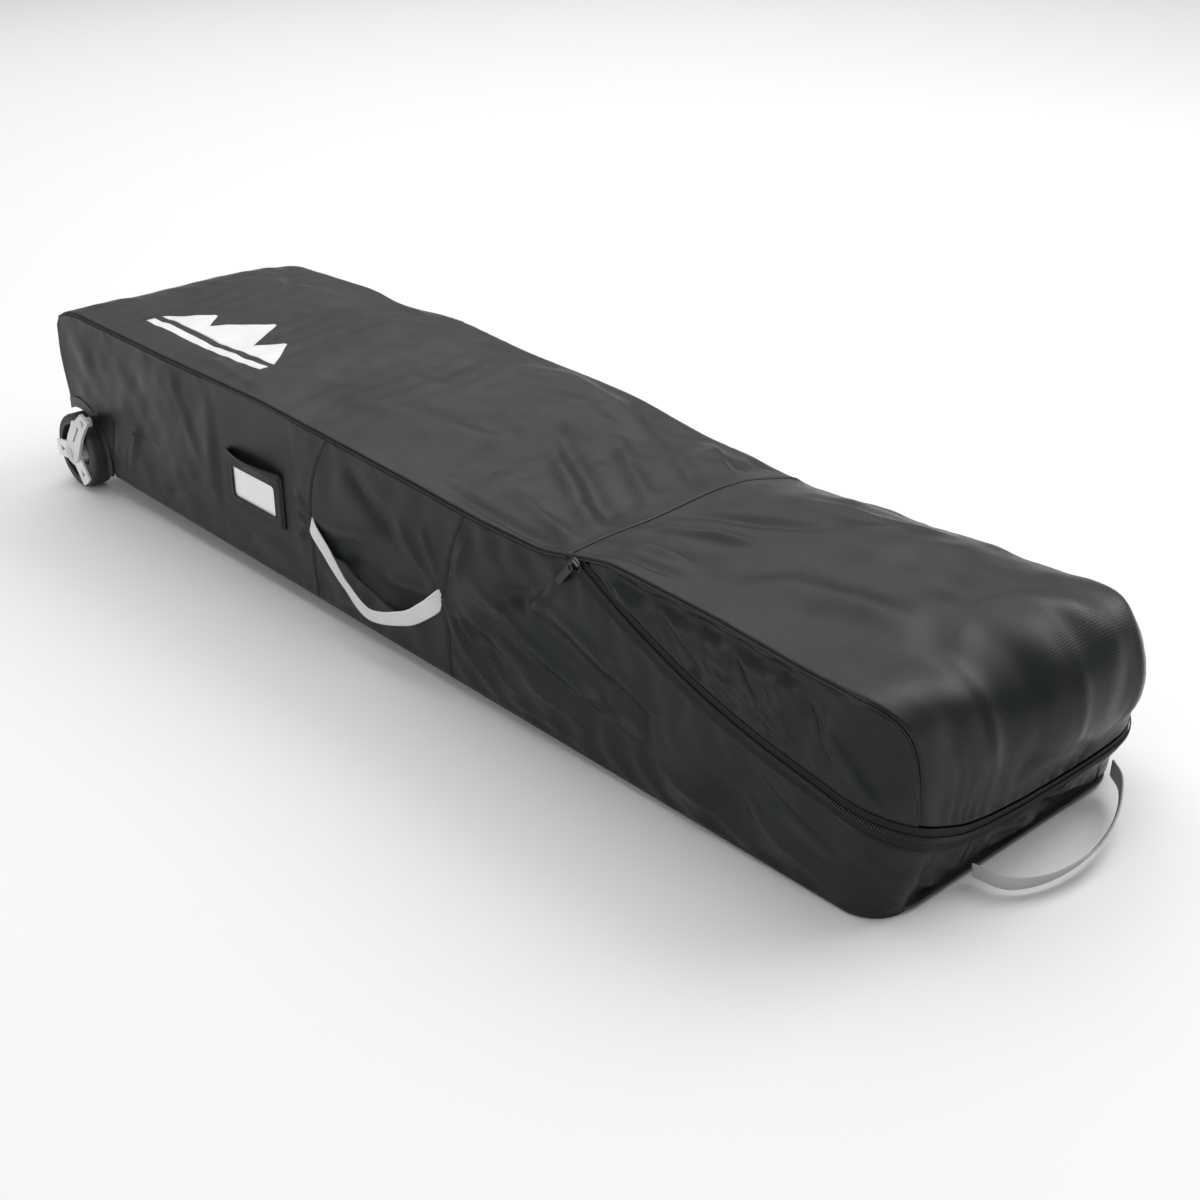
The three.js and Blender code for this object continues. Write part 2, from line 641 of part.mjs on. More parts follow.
function axleCap() {
  const profile = [
    [0, ARM_FACE - 2.5],
    [CAP_RADIUS - 2, ARM_FACE - 2.5],
    [CAP_RADIUS, ARM_FACE - 1.5],
    [CAP_RADIUS, ARM_FACE],
    [0, ARM_FACE],
  ].map(([radius, y]) => new THREE.Vector2(radius, y));
  return new THREE.LatheGeometry(profile, 24).translate(WHEEL.x, 0, WHEEL.z);
}

function wheelSet(suffix) {
  const group = new THREE.Group();
  const { outerY } = WHEEL;
  const bearing = (y0, y1) => ring(AXLE_RADIUS + SEAM_GAP, BEARING_RADIUS, y0, y1);
  const axle = bar(WHEEL.x, WHEEL.z, AXLE_RADIUS, ARM_FACE + SEAM_GAP, WELL.depthY + 3);
  group.add(
    piece("wheel_tyre_" + suffix, tyre(), rubber()),
    piece("wheel_rim_" + suffix, rim(), blackPlastic()),
    piece("wheel_spokes_" + suffix, spokes(), whitePlastic()),
    piece("outer_bearing_" + suffix, bearing(outerY + 9, outerY + 16), steel()),
    piece("inner_bearing_" + suffix, bearing(outerY + 27, outerY + 34), steel()),
    piece("wheel_axle_" + suffix, axle, steel()),
    piece("axle_arm_" + suffix, axleArm(), greyPlastic()),
    piece("axle_cap_" + suffix, axleCap(), greyPlastic()),
    piece("arm_screw_" + suffix, armScrew(), steel()),
    piece("wheel_housing_" + suffix, wheelHousing(), blackPlastic()),
  );
  return group;
}

// One side of the shell, on the near side; the far side is its mirror image.
function shellSide(suffix, frontEnd) {
  const group = new THREE.Group();
  group.add(
    piece("side_rear_panel_" + suffix, sideRearPanel(), shellFabric()),
    piece("side_middle_panel_" + suffix, sideMiddlePanel(), shellFabric()),
    piece("side_front_panel_" + suffix, sideFrontPanel(frontEnd), shellFabric()),
    piece("lid_gusset_" + suffix, lidGusset(), shellFabric()),
    piece("zip_stop_" + suffix, zipStop(), blackMetal()),
    wheelSet(suffix),
  );
  return group;
}

// Inside: the stiffener board, the foam over it, and two straps with buckles that hold the board down.
function inside() {
  const group = new THREE.Group();
  const board = baseLayer(FABRIC + 3, FLOOR + SEAM_GAP, STIFFENER);
  const foam = baseLayer(FABRIC + 2, FLOOR + STIFFENER + 2 * SEAM_GAP, FOAM);
  group.add(piece("base_stiffener", board, blackPlastic()));
  group.add(piece("base_foam_pad", foam, finish(0x35383a, 0.9)));
  const strapZ = FLOOR + STIFFENER + FOAM + 3 * SEAM_GAP;
  const half = HALF_WIDTH - FABRIC - 3;
  const { halfLength, halfWidth, height, slotY } = BUCKLE;
  for (const [name, x] of Object.entries(BOARD_STRAPS)) {
    const strap = box(x - WEBBING / 2, x + WEBBING / 2, -half, half, strapZ, strapZ + 2);
    group.add(piece("board_strap_" + name, strap, finish(BLACK, 0.8)));
    const outer = roundedRectangle(x - halfWidth, x + halfWidth, -halfLength, halfLength, 7);
    const options = { depth: height, bevelEnabled: false, curveSegments: 3 };
    const buckle = new THREE.ExtrudeGeometry(outer, options).translate(0, 0, strapZ + 2 + SEAM_GAP);
    const slot = (y) => box(x - 14, x + 14, y - 3, y + 3, strapZ, strapZ + 20);
    group.add(piece("board_buckle_" + name, cut(buckle, slot(-slotY), slot(slotY)), blackPlastic()));
  }
  return group;
}

// Assembly
const shell = new THREE.Group();
const nearFrontEnd = CORNER_END + NOSE_HALF + NOSE_SEAM_Y_NEAR - SEAM_GAP / 2;
const farFrontEnd = CORNER_END + NOSE_HALF - NOSE_SEAM_Y_FAR - SEAM_GAP / 2;
const nearSide = shellSide("near", nearFrontEnd);
const farSide = shellSide("far", farFrontEnd);
farSide.scale.y = -1;
const upperTape = zipBand(ZIP_TEETH + SEAM_GAP, ZIP_TAPE, 0, 2);
const lowerTape = zipBand(-ZIP_TAPE, -ZIP_TEETH - SEAM_GAP, 0, 2);
const upperTeeth = zipBand(SEAM_GAP, ZIP_TEETH, -1.5, 2);
const lowerTeeth = zipBand(-ZIP_TEETH, -SEAM_GAP, -1.5, 2);
shell.add(
  nearSide,
  farSide,
  piece("bottom_panel", baseLayer(0, 0, FLOOR), shellFabric()),
  piece("wheel_end_panel", wheelEndPanel(), shellFabric()),
  piece("nose_lower_panel", noseLowerPanel(), shellFabric()),
  piece("top_rear_panel", topRearPanel(), shellFabric()),
  piece("lid_top_panel", lidTopPanel(), shellFabric()),
  piece("zip_tape_upper", upperTape, finish(BLACK, 0.8)),
  piece("zip_tape_lower", lowerTape, finish(BLACK, 0.8)),
  piece("zip_teeth_upper", upperTeeth, blackPlastic()),
  piece("zip_teeth_lower", lowerTeeth, blackPlastic()),
  zipSlider(),
  pullTab(),
  sideHandle(),
  noseHandle(),
  cardPocket(),
  inside(),
);

// The bag rests on both wheels and the nose's bottom edge: the tilt brings them to one level.
const run = NOSE_X - WHEEL.x;
const tilt = Math.asin(WHEEL.radius / Math.hypot(run, WHEEL.z)) - Math.atan2(WHEEL.z, run);
shell.rotation.y = tilt;
const rearReach = WHEEL.x * Math.cos(tilt) + WHEEL.z * Math.sin(tilt) - WHEEL.radius;
const noseReach = (NOSE_X + 2 + NOSE_HANDLE.reach) * Math.cos(tilt);
shell.position.set(-(rearReach + noseReach) / 2, 0, NOSE_X * Math.sin(tilt));

const bag = new THREE.Group();
bag.add(shell);
export default bag;
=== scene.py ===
import json
import math

import bpy
import numpy as np
from mathutils import Matrix, Vector
from mathutils.bvhtree import BVHTree


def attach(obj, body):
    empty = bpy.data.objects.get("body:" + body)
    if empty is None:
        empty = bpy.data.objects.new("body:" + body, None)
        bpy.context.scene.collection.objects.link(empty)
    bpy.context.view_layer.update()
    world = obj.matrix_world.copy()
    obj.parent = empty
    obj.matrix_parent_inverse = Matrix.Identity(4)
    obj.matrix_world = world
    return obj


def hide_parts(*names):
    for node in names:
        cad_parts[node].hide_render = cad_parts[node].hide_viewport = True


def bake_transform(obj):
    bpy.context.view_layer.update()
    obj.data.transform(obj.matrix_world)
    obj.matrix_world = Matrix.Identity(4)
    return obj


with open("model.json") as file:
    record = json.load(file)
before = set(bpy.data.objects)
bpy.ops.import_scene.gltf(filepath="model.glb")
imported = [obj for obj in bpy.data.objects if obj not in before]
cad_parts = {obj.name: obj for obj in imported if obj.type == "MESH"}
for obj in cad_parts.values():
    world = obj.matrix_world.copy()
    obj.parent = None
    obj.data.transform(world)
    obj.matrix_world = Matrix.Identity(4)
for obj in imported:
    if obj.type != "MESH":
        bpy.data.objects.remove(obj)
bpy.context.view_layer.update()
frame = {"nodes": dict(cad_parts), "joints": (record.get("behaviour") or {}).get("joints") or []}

JOINT = {joint["name"]: joint for joint in frame["joints"]}

# ---------------------------------------------------------------- the bag's own frame

HINGE_X, HINGE_Z = 0.375, 0.282
UP = np.array(JOINT["card_slide"]["axis"], float)
UP /= np.linalg.norm(UP)
ACROSS = np.array([0.0, 1.0, 0.0])
ALONG = np.cross(ACROSS, UP)
AXES = np.array([ALONG, ACROSS, UP])
ORIGIN = np.array(JOINT["lid_hinge"]["pos_m"], float) - HINGE_X * ALONG - HINGE_Z * UP


def to_row(points):
    """Points in the bag's frame, as row-frame points."""
    return ORIGIN + np.asarray(points, float) @ AXES


def turn_to_bag(vectors):
    """Row-frame vectors, as vectors in the bag's frame."""
    return vectors @ AXES.T


# The camera, fitted to the bag's straight edges in the photo. The place is in the bag's frame.
AZIMUTH, ELEVATION = math.radians(47.69), math.radians(27.19)
CAMERA_PLACE = (1.6392, -1.3218, 1.0573)
LENS = 50.84

# ---------------------------------------------------------------- small helpers


def smoothstep(low, high, x):
    t = np.clip((np.asarray(x, float) - low) / (high - low), 0, 1)
    return t * t * (3 - 2 * t)


def mix(a, b, t):
    return a + (b - a) * t


def smooth_line(points, blur=0.03):
    """A soft curve through a few given points: y as a function of x."""
    xs, ys = zip(*points)
    step = 0.004
    grid = np.arange(xs[0] - 6 * blur, xs[-1] + 6 * blur, step)
    half = int(3 * blur / step)
    kernel = np.exp(-0.5 * (np.arange(-half, half + 1) * step / blur) ** 2)
    values = np.interp(grid, xs, ys)
    padded = np.pad(values, half, mode="edge")
    soft = np.convolve(padded, kernel / kernel.sum(), mode="valid")
    return lambda x: np.interp(x, grid, soft)


def ripple(u, v, wavelength, seed, waves=7):
    """Smooth, repeatable unevenness between about -1 and 1."""
    rng = np.random.default_rng(seed)
    total = 0
    for _ in range(waves):
        angle = rng.uniform(0, math.pi)
        length = wavelength * rng.uniform(0.7, 1.5)
        phase = rng.uniform(0, 2 * math.pi)
        along = u * math.cos(angle) + v * math.sin(angle)
        total = total + np.sin(2 * math.pi * along / length + phase)
    return total / math.sqrt(waves)


def fold(u, v, start, end, width, height):
    """A soft ridge, or a valley where height is negative, from start to end, fading at both ends."""
    a, b = np.array(start), np.array(end)
    along = b - a
    length = math.hypot(*along)
    du, dv = u - a[0], v - a[1]
    t = (du * along[0] + dv * along[1]) / length**2
    off = (du * along[1] - dv * along[0]) / length
    fade = smoothstep(-0.05, 0.3, t) * (1 - smoothstep(0.65, 1.05, t))
    return height * fade * np.exp(-((off / width) ** 2))


def graded(length, step, first=0.0012, growth=1.6):
    """Places from 0 to 1 along a length: close together at both ends, and step apart between."""
    ends = [0.0]
    gap = first
    while gap < step and ends[-1] + gap < 0.4 * length:
        ends.append(ends[-1] + gap)
        gap *= growth
    ends = np.array(ends) / length
    inner = max(2, int(round((1 - 2 * ends[-1]) * length / step)))
    middle = np.linspace(ends[-1], 1 - ends[-1], inner + 1)
    return np.concatenate([ends[:-1], middle, (1 - ends[:-1])[::-1]])


def grid_normals(points):
    """Unit normals of a grid of points, turned away from the bag's middle line."""
    du = np.gradient(points, axis=0)
    dv = np.gradient(points, axis=1)
    n = np.cross(du, dv)
    n /= np.linalg.norm(n, axis=-1, keepdims=True) + 1e-12
    heart = points * [1, 0, 0] + [0, 0, 0.12]
    heart[..., 0] = np.clip(heart[..., 0], -0.7, 0.7)
    if ((points - heart) * n).sum() < 0:
        n = -n
    return n


# ---------------------------------------------------------------- the shell's shape

# s is how far the wall has been walked: x along the near side, then round the nose and back along the far side.
REAR_X = -0.833
HALF = 0.218
SEAM_Z = 0.25
S_CORNER, S_NOSE, S_MIDDLE = 0.785, 0.8792, 1.0372
SPREAD_FROM = 0.5
LID_X = HINGE_X
ZIP_START = 0.381
ZIP_EDGE = 0.0115

# Side seam heights and how far the far side draws in, along the bag.
near_seam = smooth_line(
    [(-0.9, 0.216), (-0.84, 0.23), (-0.812, 0.247), (-0.78, 0.2515), (-0.5, 0.251), (-0.25, 0.254),
     (-0.09, 0.249), (0.08, 0.243), (0.2, 0.237), (0.33, 0.237), (0.385, 0.25), (0.44, 0.262),
     (0.6, 0.257), (0.72, 0.247), (0.9, 0.246)],
    0.014,
)
far_seam = smooth_line(
    [(-0.9, 0.222), (-0.8, 0.231), (-0.7, 0.233), (-0.62, 0.236), (-0.5, 0.226), (-0.35, 0.24),
     (-0.2, 0.231), (0.05, 0.23), (0.2, 0.213), (0.3, 0.212), (0.35, 0.2), (0.45, 0.188),
     (0.55, 0.177), (0.65, 0.179), (0.72, 0.173), (0.8, 0.187), (0.9, 0.206)],
    0.03,
)
far_draw = smooth_line(
    [(-0.9, -0.02), (-0.78, -0.01), (-0.45, -0.006), (-0.08, -0.019), (0.06, -0.023), (0.2, -0.031),
     (0.32, -0.038), (0.43, -0.041), (0.56, -0.022), (0.68, -0.008), (0.8, 0.0), (0.95, 0.0)],
    0.03,
)
crown = smooth_line(
    [(-0.9, 0.004), (-0.75, 0.01), (-0.5, 0.013), (-0.1, 0.013), (0.2, 0.014), (0.375, 0.021),
     (0.5, 0.02), (0.7, 0.022), (0.9, 0.02)],
    0.03,
)
far_round = smooth_line([(-0.9, 0.016), (0.3, 0.022), (0.45, 0.04), (0.6, 0.05), (0.9, 0.05)], 0.03)

ZIP_ARC = {"x": 0.8665, "z": 1.1024, "radius": 0.9791, "end": 0.74}


def zip_points():
    """The zip's line on the wall: the slider's arc along the sides, and a curve round the nose."""
    side = np.arange(0.3, ZIP_ARC["end"] + 0.001, 0.02)
    arc = ZIP_ARC["z"] - np.sqrt(ZIP_ARC["radius"] ** 2 - (side - ZIP_ARC["x"]) ** 2)
    front = [(0.79, 0.124), (0.832, 0.106), (S_NOSE, 0.084), (0.929, 0.068), (0.98, 0.0595)]
    front.append((S_MIDDLE, 0.056))
    half = list(zip(side, arc)) + front
    return half + [(2 * S_MIDDLE - s, z) for s, z in reversed(half[:-1])]


zip_line = smooth_line(zip_points(), 0.009)


def zip_height(s):
    """Height of the zip before the side sags, so that it ends up on the slider's arc."""
    near = 1 - smoothstep(S_NOSE - 0.1, S_MIDDLE, s)
    sag = near_seam(np.minimum(s, 0.842)) / SEAM_Z - 1
    return zip_line(s) / (1 + near * sag)


# The card's pocket needs a flat wall behind it, where the card slides up.
CARD_WALL = (-0.372, -0.194, 0.062, 0.245)


def card_wall(s, z):
    """1 behind the card's pocket, 0 away from it."""
    x0, x1, z0, z1 = CARD_WALL
    along = smoothstep(x0 - 0.03, x0, s) * (1 - smoothstep(x1, x1 + 0.03, s))
    return along * smoothstep(z0 - 0.03, z0, z) * (1 - smoothstep(z1, z1 + 0.01, z))


def outline(s, z):
    """Where the wall stands at height z when the plan has been walked s, and its outward direction."""
    far = s > S_MIDDLE
    s = np.where(far, 2 * S_MIDDLE - s, s)
    radius = mix(0.045, 0.075, smoothstep(0, 0.12, z))
    nose = mix(0.832, 0.842, smoothstep(0, 0.1, z))
    spread = (nose - radius - SPREAD_FROM) / (S_CORNER - SPREAD_FROM)
    side_x = np.where(s < SPREAD_FROM, s, SPREAD_FROM + (s - SPREAD_FROM) * spread)
    angle = np.clip((s - S_CORNER) / (S_NOSE - S_CORNER), 0, 1) * math.pi / 2
    across = np.clip((S_MIDDLE - s) / (S_MIDDLE - S_NOSE), 0, 1)
    x = np.where(s <= S_CORNER, side_x, nose - radius + radius * np.sin(angle))
    y = np.where(s < S_NOSE, -(HALF - radius) - radius * np.cos(angle), -(HALF - radius) * across)
    turn = np.where(far, -1, 1)
    return x, y * turn, np.sin(angle), -np.cos(angle) * turn, (1 - across**2) * (s > S_NOSE)


def settle(p):
    """Turns the plain box form into the sagging one: uneven side seams and a far side that draws in."""
    x, y, z = p[..., 0], p[..., 1], p[..., 2]
    near = 1 - smoothstep(-HALF, 0.06, y)
    far = smoothstep(-0.06, HALF, y)
    height = np.clip(z / SEAM_Z, 0, 1.2)
    lift = near * (near_seam(x) - SEAM_Z) + far * (far_seam(x) - SEAM_Z)
    out = p.copy()
    rear_bulge = smoothstep(0.09, 0.2, z) * (1 - 0.5 * smoothstep(0.232, 0.252, z))
    out[..., 0] = x - 0.017 * rear_bulge * (1 - smoothstep(REAR_X, -0.74, x))
    out[..., 2] = z + height * lift
    out[..., 1] = y + far * mix(0.35, 1, np.minimum(height, 1)) * far_draw(x)
    kick = smoothstep(0.79, 0.85, x) * smoothstep(-0.1, HALF, y) * (1 - smoothstep(0, 0.07, z))
    out[..., 2] += 0.010 * kick
    return out


BOTTOM_ROUND = 0.008
FAR_CORNER = 2 * S_MIDDLE - 0.5 * (S_CORNER + S_NOSE)


def wall(s, z, proud=0.0):
    """The outer surface of the standing walls."""
    s, z = np.broadcast_arrays(np.asarray(s, float), np.asarray(z, float))
    x, y, nx, ny, nose = outline(s, z)
    low = np.clip(BOTTOM_ROUND - z, 0, BOTTOM_ROUND)
    inset = BOTTOM_ROUND - np.sqrt(BOTTOM_ROUND**2 - low**2)
    out = 0.003 * np.sin(math.pi * np.clip(z / SEAM_Z, 0, 1)) * (1 - card_wall(s, z))
    out = out + 0.004 * nose * smoothstep(0, 0.08, z)
    far_corner = np.exp(-(((s - FAR_CORNER) / 0.11) ** 2))
    out = out + 0.014 * far_corner * smoothstep(0.03, 0.1, z) * (1 - smoothstep(0.13, 0.22, z))
    out = out - inset + proud
    return settle(np.stack([x + nx * out, y + ny * out, z], -1))


# The lid's edge, walked along the wall: forward along the side, then down in front of the corner.
LID_EDGE = np.array(
    [(0.375, 0.25), (0.5, 0.25), (0.64, 0.25), (0.765, 0.25), (0.803, 0.246), (0.827, 0.233), (0.842, 0.209),
     (0.85, 0.175), (0.853, 0.14), (0.855, 0.1105)]
)


def walk_polyline(points, fractions):
    """Points at fractions of the length of a curve drawn through a few points."""
    dense = []
    padded = np.vstack([2 * points[0] - points[1], points, 2 * points[-1] - points[-2]])
    for k in range(1, len(padded) - 2):
        p0, p1, p2, p3 = padded[k - 1 : k + 3]
        for t in np.linspace(0, 1, 24, endpoint=False):
            a = 2 * p1 + (p2 - p0) * t
            b = (2 * p0 - 5 * p1 + 4 * p2 - p3) * t**2
            c = (3 * p1 - p0 - 3 * p2 + p3) * t**3
            dense.append((a + b + c) / 2)
    dense = np.array(dense + [points[-1]])
    lengths = np.r_[0, np.cumsum(np.linalg.norm(np.diff(dense, axis=0), axis=1))]
    at = np.asarray(fractions) * lengths[-1]
    return np.stack([np.interp(at, lengths, dense[:, k]) for k in range(dense.shape[1])], -1)


def lid_edge_height(s):
    """Top of the lid's gusset on the wall."""
    return np.interp(s, *walk_polyline(LID_EDGE, np.linspace(0, 1, 400)).T)


def shoulder(distance, radius):
    """How high a rounded edge of that radius has risen at a distance in from its seam."""
    d = np.clip(distance / radius, 0, 1)
    return radius * np.sqrt(1 - (1 - d) ** 2)


def top_lift(x, v, width):
    """Height of a crowned top above the line between its two side seams."""
    near = shoulder((1 + v) / 2 * width, 0.003)
    far = shoulder((1 - v) / 2 * width, far_round(x))
    base = mix(near, far, smoothstep(-0.5, 0.5, v))
    lean = -0.15
    dome = np.clip(1 - ((v - lean) / np.where(v < lean, 1 + lean, 1 - lean)) ** 2, 0, 1)
    return base + crown(x) * dome


def top_rear(a, b):
    """The rear top, a along the bag and b across it."""
    x = mix(REAR_X, LID_X, a)
    v = 2 * b - 1
    near = wall(x, SEAM_Z)
    far = wall(2 * S_MIDDLE - x, SEAM_Z)
    p = mix(near, far, b[..., None])
    p[..., 2] += top_lift(x, v, 2 * HALF) * shoulder(x - REAR_X, 0.075) / 0.075
    return p


def lid_top(a, b):
    """The lid's top, a forward and down over the nose, and b across."""
    edge = walk_polyline(LID_EDGE, a[:, 0])
    s, z = edge[:, :1], edge[:, 1:]
    near = wall(s, z)
    far = wall(2 * S_MIDDLE - s, z)
    p = mix(near, far, b[..., None])
    front_s = mix(LID_EDGE[-1, 0], 2 * S_MIDDLE - LID_EDGE[-1, 0], b)
    front = wall(front_s, zip_height(front_s) + ZIP_EDGE)
    line = mix(front[:, :1], front[:, -1:], b[..., None])
    reach = smoothstep(0.55, 1.0, a)[..., None]
    p = p + reach * (front - line)
    turn = smoothstep(0.72, 0.93, a) * math.pi / 2
    v = 2 * b - 1
    lift = top_lift(p[..., 0], v, 2 * HALF) * (1 - smoothstep(0.8, 1.0, a))
    p[..., 0] += lift * np.sin(turn)
    p[..., 2] += lift * np.cos(turn)
    return p


# ---------------------------------------------------------------- meshes

FABRIC_THICKNESS = 0.004


def make_piece(name, points, faces, body, material, uv=None):
    """A smooth mesh object from bag-frame points and faces of any size, riding on a body."""
    mesh = bpy.data.meshes.new(name)
    mesh.from_pydata(to_row(points).tolist(), [], faces)
    mesh.materials.append(material)
    if uv is not None:
        layer = mesh.uv_layers.new(name="UVMap")
        corner = np.zeros(len(mesh.loops), np.int32)
        mesh.loops.foreach_get("vertex_index", corner)
        layer.data.foreach_set("uv", np.asarray(uv, np.float32)[corner].ravel())
    mesh.shade_smooth()
    obj = bpy.data.objects.new(name, mesh)
    bpy.context.scene.collection.objects.link(obj)
    if body:
        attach(obj, body)
    return obj


def dress(obj, nodes):
    """Hides the CAD nodes that a piece stands for."""
    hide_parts(*([nodes] if isinstance(nodes, str) else nodes))
    return obj


def sheet_faces(nu, nv, wrap=False):
    """Quads of a closed sheet: outer grid first, then the same grid again underneath."""
    index = np.arange(nu * nv).reshape(nu, nv)
    if wrap:
        index = np.concatenate([index, index[:1]])
    a, b, c, d = index[:-1, :-1], index[1:, :-1], index[1:, 1:], index[:-1, 1:]
    front = np.stack([a, b, c, d], -1).reshape(-1, 4)
    back = front[:, ::-1] + nu * nv
    if wrap:
        edges = [(index[:, 0], False), (index[:, -1], True)]
    else:
        loop = np.concatenate([index[:-1, 0], index[-1, :-1], index[:0:-1, -1], index[0, ::-1]])
        edges = [(loop, False)]
    rims = []
    for loop, flip in edges:
        rim = np.stack([loop[:-1], loop[:-1] + nu * nv, loop[1:] + nu * nv, loop[1:]], -1)
        rims.append(rim[:, ::-1] if flip else rim)
    return front, back, np.concatenate(rims)


def sheet_mesh(name, outer, thickness, body, material, uv, lining=None, outward=None, wrap=False):
    """A closed sheet under a grid of outer points: outer face, underside and rim."""
    nu, nv = outer.shape[:2]
    if outward is None:
        outward = grid_normals(outer)
    points = np.concatenate([outer.reshape(-1, 3), (outer - outward * thickness).reshape(-1, 3)])
    front, back, rim = sheet_faces(nu, nv, wrap)
    du, dv = outer[1:, :-1] - outer[:-1, :-1], outer[:-1, 1:] - outer[:-1, :-1]
    faces = np.concatenate([front, back, rim])
    if (np.cross(du, dv) * outward[:-1, :-1]).sum() < 0:
        faces = faces[:, ::-1]
    obj = make_piece(name, points, faces.tolist(), body, material, np.concatenate([uv.reshape(-1, 2)] * 2))
    if lining is not None:
        obj.data.materials.append(lining)
        inner = np.arange(len(faces)) >= len(front)
        obj.data.polygons.foreach_set("material_index", inner.astype(np.int32))
    return obj


def tangents(path):
    """Unit tangents along a path."""
    tangent = np.gradient(path, axis=0)
    return tangent / np.linalg.norm(tangent, axis=1, keepdims=True)


def unit(v):
    return v / (np.linalg.norm(v, axis=-1, keepdims=True) + 1e-12)


def loft(name, rings, body, material):
    """A closed tube through rings of points, with a flat cap at each end."""
    n, m = rings.shape[:2]
    index = np.arange(n * m).reshape(n, m)
    around = np.roll(index, -1, 1)
    quads = np.stack([index[:-1], around[:-1], around[1:], index[1:]], -1).reshape(-1, 4)
    faces = quads.tolist() + [index[0, ::-1].tolist(), index[-1].tolist()]
    edge = np.roll(rings, -1, 1) - rings
    outward = rings - rings.mean(1, keepdims=True)
    if (np.cross(edge[:-1], rings[1:] - rings[:-1]) * outward[:-1]).sum() < 0:
        faces = [face[::-1] for face in faces]
    along = np.r_[0, np.cumsum(np.linalg.norm(np.diff(rings.mean(1), axis=0), axis=1))]
    girth = np.r_[0, np.cumsum(np.linalg.norm(edge, axis=-1).mean(0))[:-1]]
    uv = np.stack(np.broadcast_arrays(along[:, None], girth[None]), -1).reshape(-1, 2)
    return make_piece(name, rings.reshape(-1, 3), faces, body, material, uv)


def tube(name, path, radius, body, material, outward, sides=8):
    """A round cord along a path."""
    tangent = tangents(path)
    normal = unit(outward - tangent * (outward * tangent).sum(-1, keepdims=True))
    side = np.cross(tangent, normal)
    angle = np.linspace(0, 2 * math.pi, sides, endpoint=False)[None, :, None]
    ring = path[:, None] + radius * (np.cos(angle) * normal[:, None] + np.sin(angle) * side[:, None])
    return loft(name, ring, body, material)


def webbing(name, path, across, width, thickness, body, material, ribs=9):
    """A flat woven band: centre line, direction of its width, and ribs along its length."""
    tangent = tangents(path)
    across = unit(across - tangent * (across * tangent).sum(-1, keepdims=True))
    normal = np.cross(tangent, across)
    columns = 2 * ribs + 1
    v = np.linspace(-1, 1, columns)
    half = thickness / 2 * (1 + 0.1 * np.cos(v * ribs * math.pi)) * (1 - 0.35 * np.abs(v) ** 10)
    across_at = np.concatenate([v, v[::-1]]) * width / 2
    height = np.concatenate([half, -half[::-1]])
    rings = path[:, None] + across_at[None, :, None] * across[:, None]
    rings = rings + height[None, :, None] * normal[:, None]
    return loft(name, rings, body, material)


def surface_of(*objs):
    """A search tree over pieces' faces, in the row frame."""
    points, faces = [], []
    for obj in objs:
        base = len(points)
        points += [v.co.copy() for v in obj.data.vertices]
        faces += [[base + i for i in p.vertices] for p in obj.data.polygons]
    return BVHTree.FromPolygons(points, faces)


def drop(tree, points):
    """Points moved straight down onto a surface."""
    row = to_row(points).reshape(-1, 3)
    down = Vector(-UP)
    places = np.array([tree.ray_cast(Vector(p), down)[0] for p in row])
    return turn_to_bag(places - ORIGIN).reshape(np.shape(points))


def snap(tree, points, lift=0.0):
    """Points dropped onto a surface: bag-frame places and outward directions."""
    places, normals = [], []
    for p in to_row(points).reshape(-1, 3):
        hit, normal, _, _ = tree.find_nearest(Vector(p))
        places.append(np.array(hit) + lift * np.array(normal))
        normals.append(np.array(normal))
    places = turn_to_bag(np.array(places) - ORIGIN)
    return places.reshape(np.shape(points)), turn_to_bag(np.array(normals)).reshape(np.shape(points))


CAPSULE = [(-0.5, 0, 1), (-0.32, 1, 0), (0.32, 1, 0), (0.5, 0, 1)]


def capsules(name, centres, along, outward, length, radius, dip, body, material):
    """Many small rounded rods as one piece: sewn stitches or zip teeth."""
    sideways = np.cross(outward, along)
    points = []
    for place, girth, down in CAPSULE:
        centre = centres + along * place * length - outward * down * dip
        if girth:
            ring = [centre + outward * radius, centre + sideways * radius]
            ring += [centre - outward * radius, centre - sideways * radius]
            points.append(np.stack(ring, 1))
        else:
            points.append(centre[:, None])
    points = np.concatenate(points, 1)
    faces = [(1 + k, 1 + (k + 1) % 4, 5 + (k + 1) % 4, 5 + k) for k in range(4)]
    faces += [(0, 1 + (k + 1) % 4, 1 + k) for k in range(4)]
    faces += [(9, 5 + k, 5 + (k + 1) % 4) for k in range(4)]
    every = [tuple(10 * n + k for k in face) for n in range(len(centres)) for face in faces]
    return make_piece(name, points.reshape(-1, 3), every, body, material)


STITCH, STITCH_PITCH, THREAD = 0.0034, 0.0046, 0.0004


def stitches(name, rows, surface, body, thread=None):
    """Rows of sewn stitches along paths near a piece's surface."""
    tree = surface_of(*surface)
    centres, along, outward = [], [], []
    for row in rows:
        length = np.r_[0, np.cumsum(np.linalg.norm(np.diff(row, axis=0), axis=1))]
        at = np.arange(STITCH_PITCH / 2, length[-1], STITCH_PITCH)
        places = np.stack([np.interp(at, length, row[:, k]) for k in range(3)], -1)
        places, normal = snap(tree, places)
        tangent = np.stack([np.interp(at, length, tangents(row)[:, k]) for k in range(3)], -1)
        centres.append(places)
        outward.append(normal)
        along.append(unit(tangent - normal * (tangent * normal).sum(-1, keepdims=True)))
    centres, along, outward = map(np.concatenate, (centres, along, outward))
    obj = capsules(name, centres, along, outward, STITCH, THREAD, 2 * THREAD, body, thread or SEWING_THREAD)
    return obj


# ---------------------------------------------------------------- materials


def node_material(name, build):
    material = bpy.data.materials.new(name)
    material.use_nodes = True
    tree = material.node_tree
    build(tree, tree.nodes["Principled BSDF"])
    return material


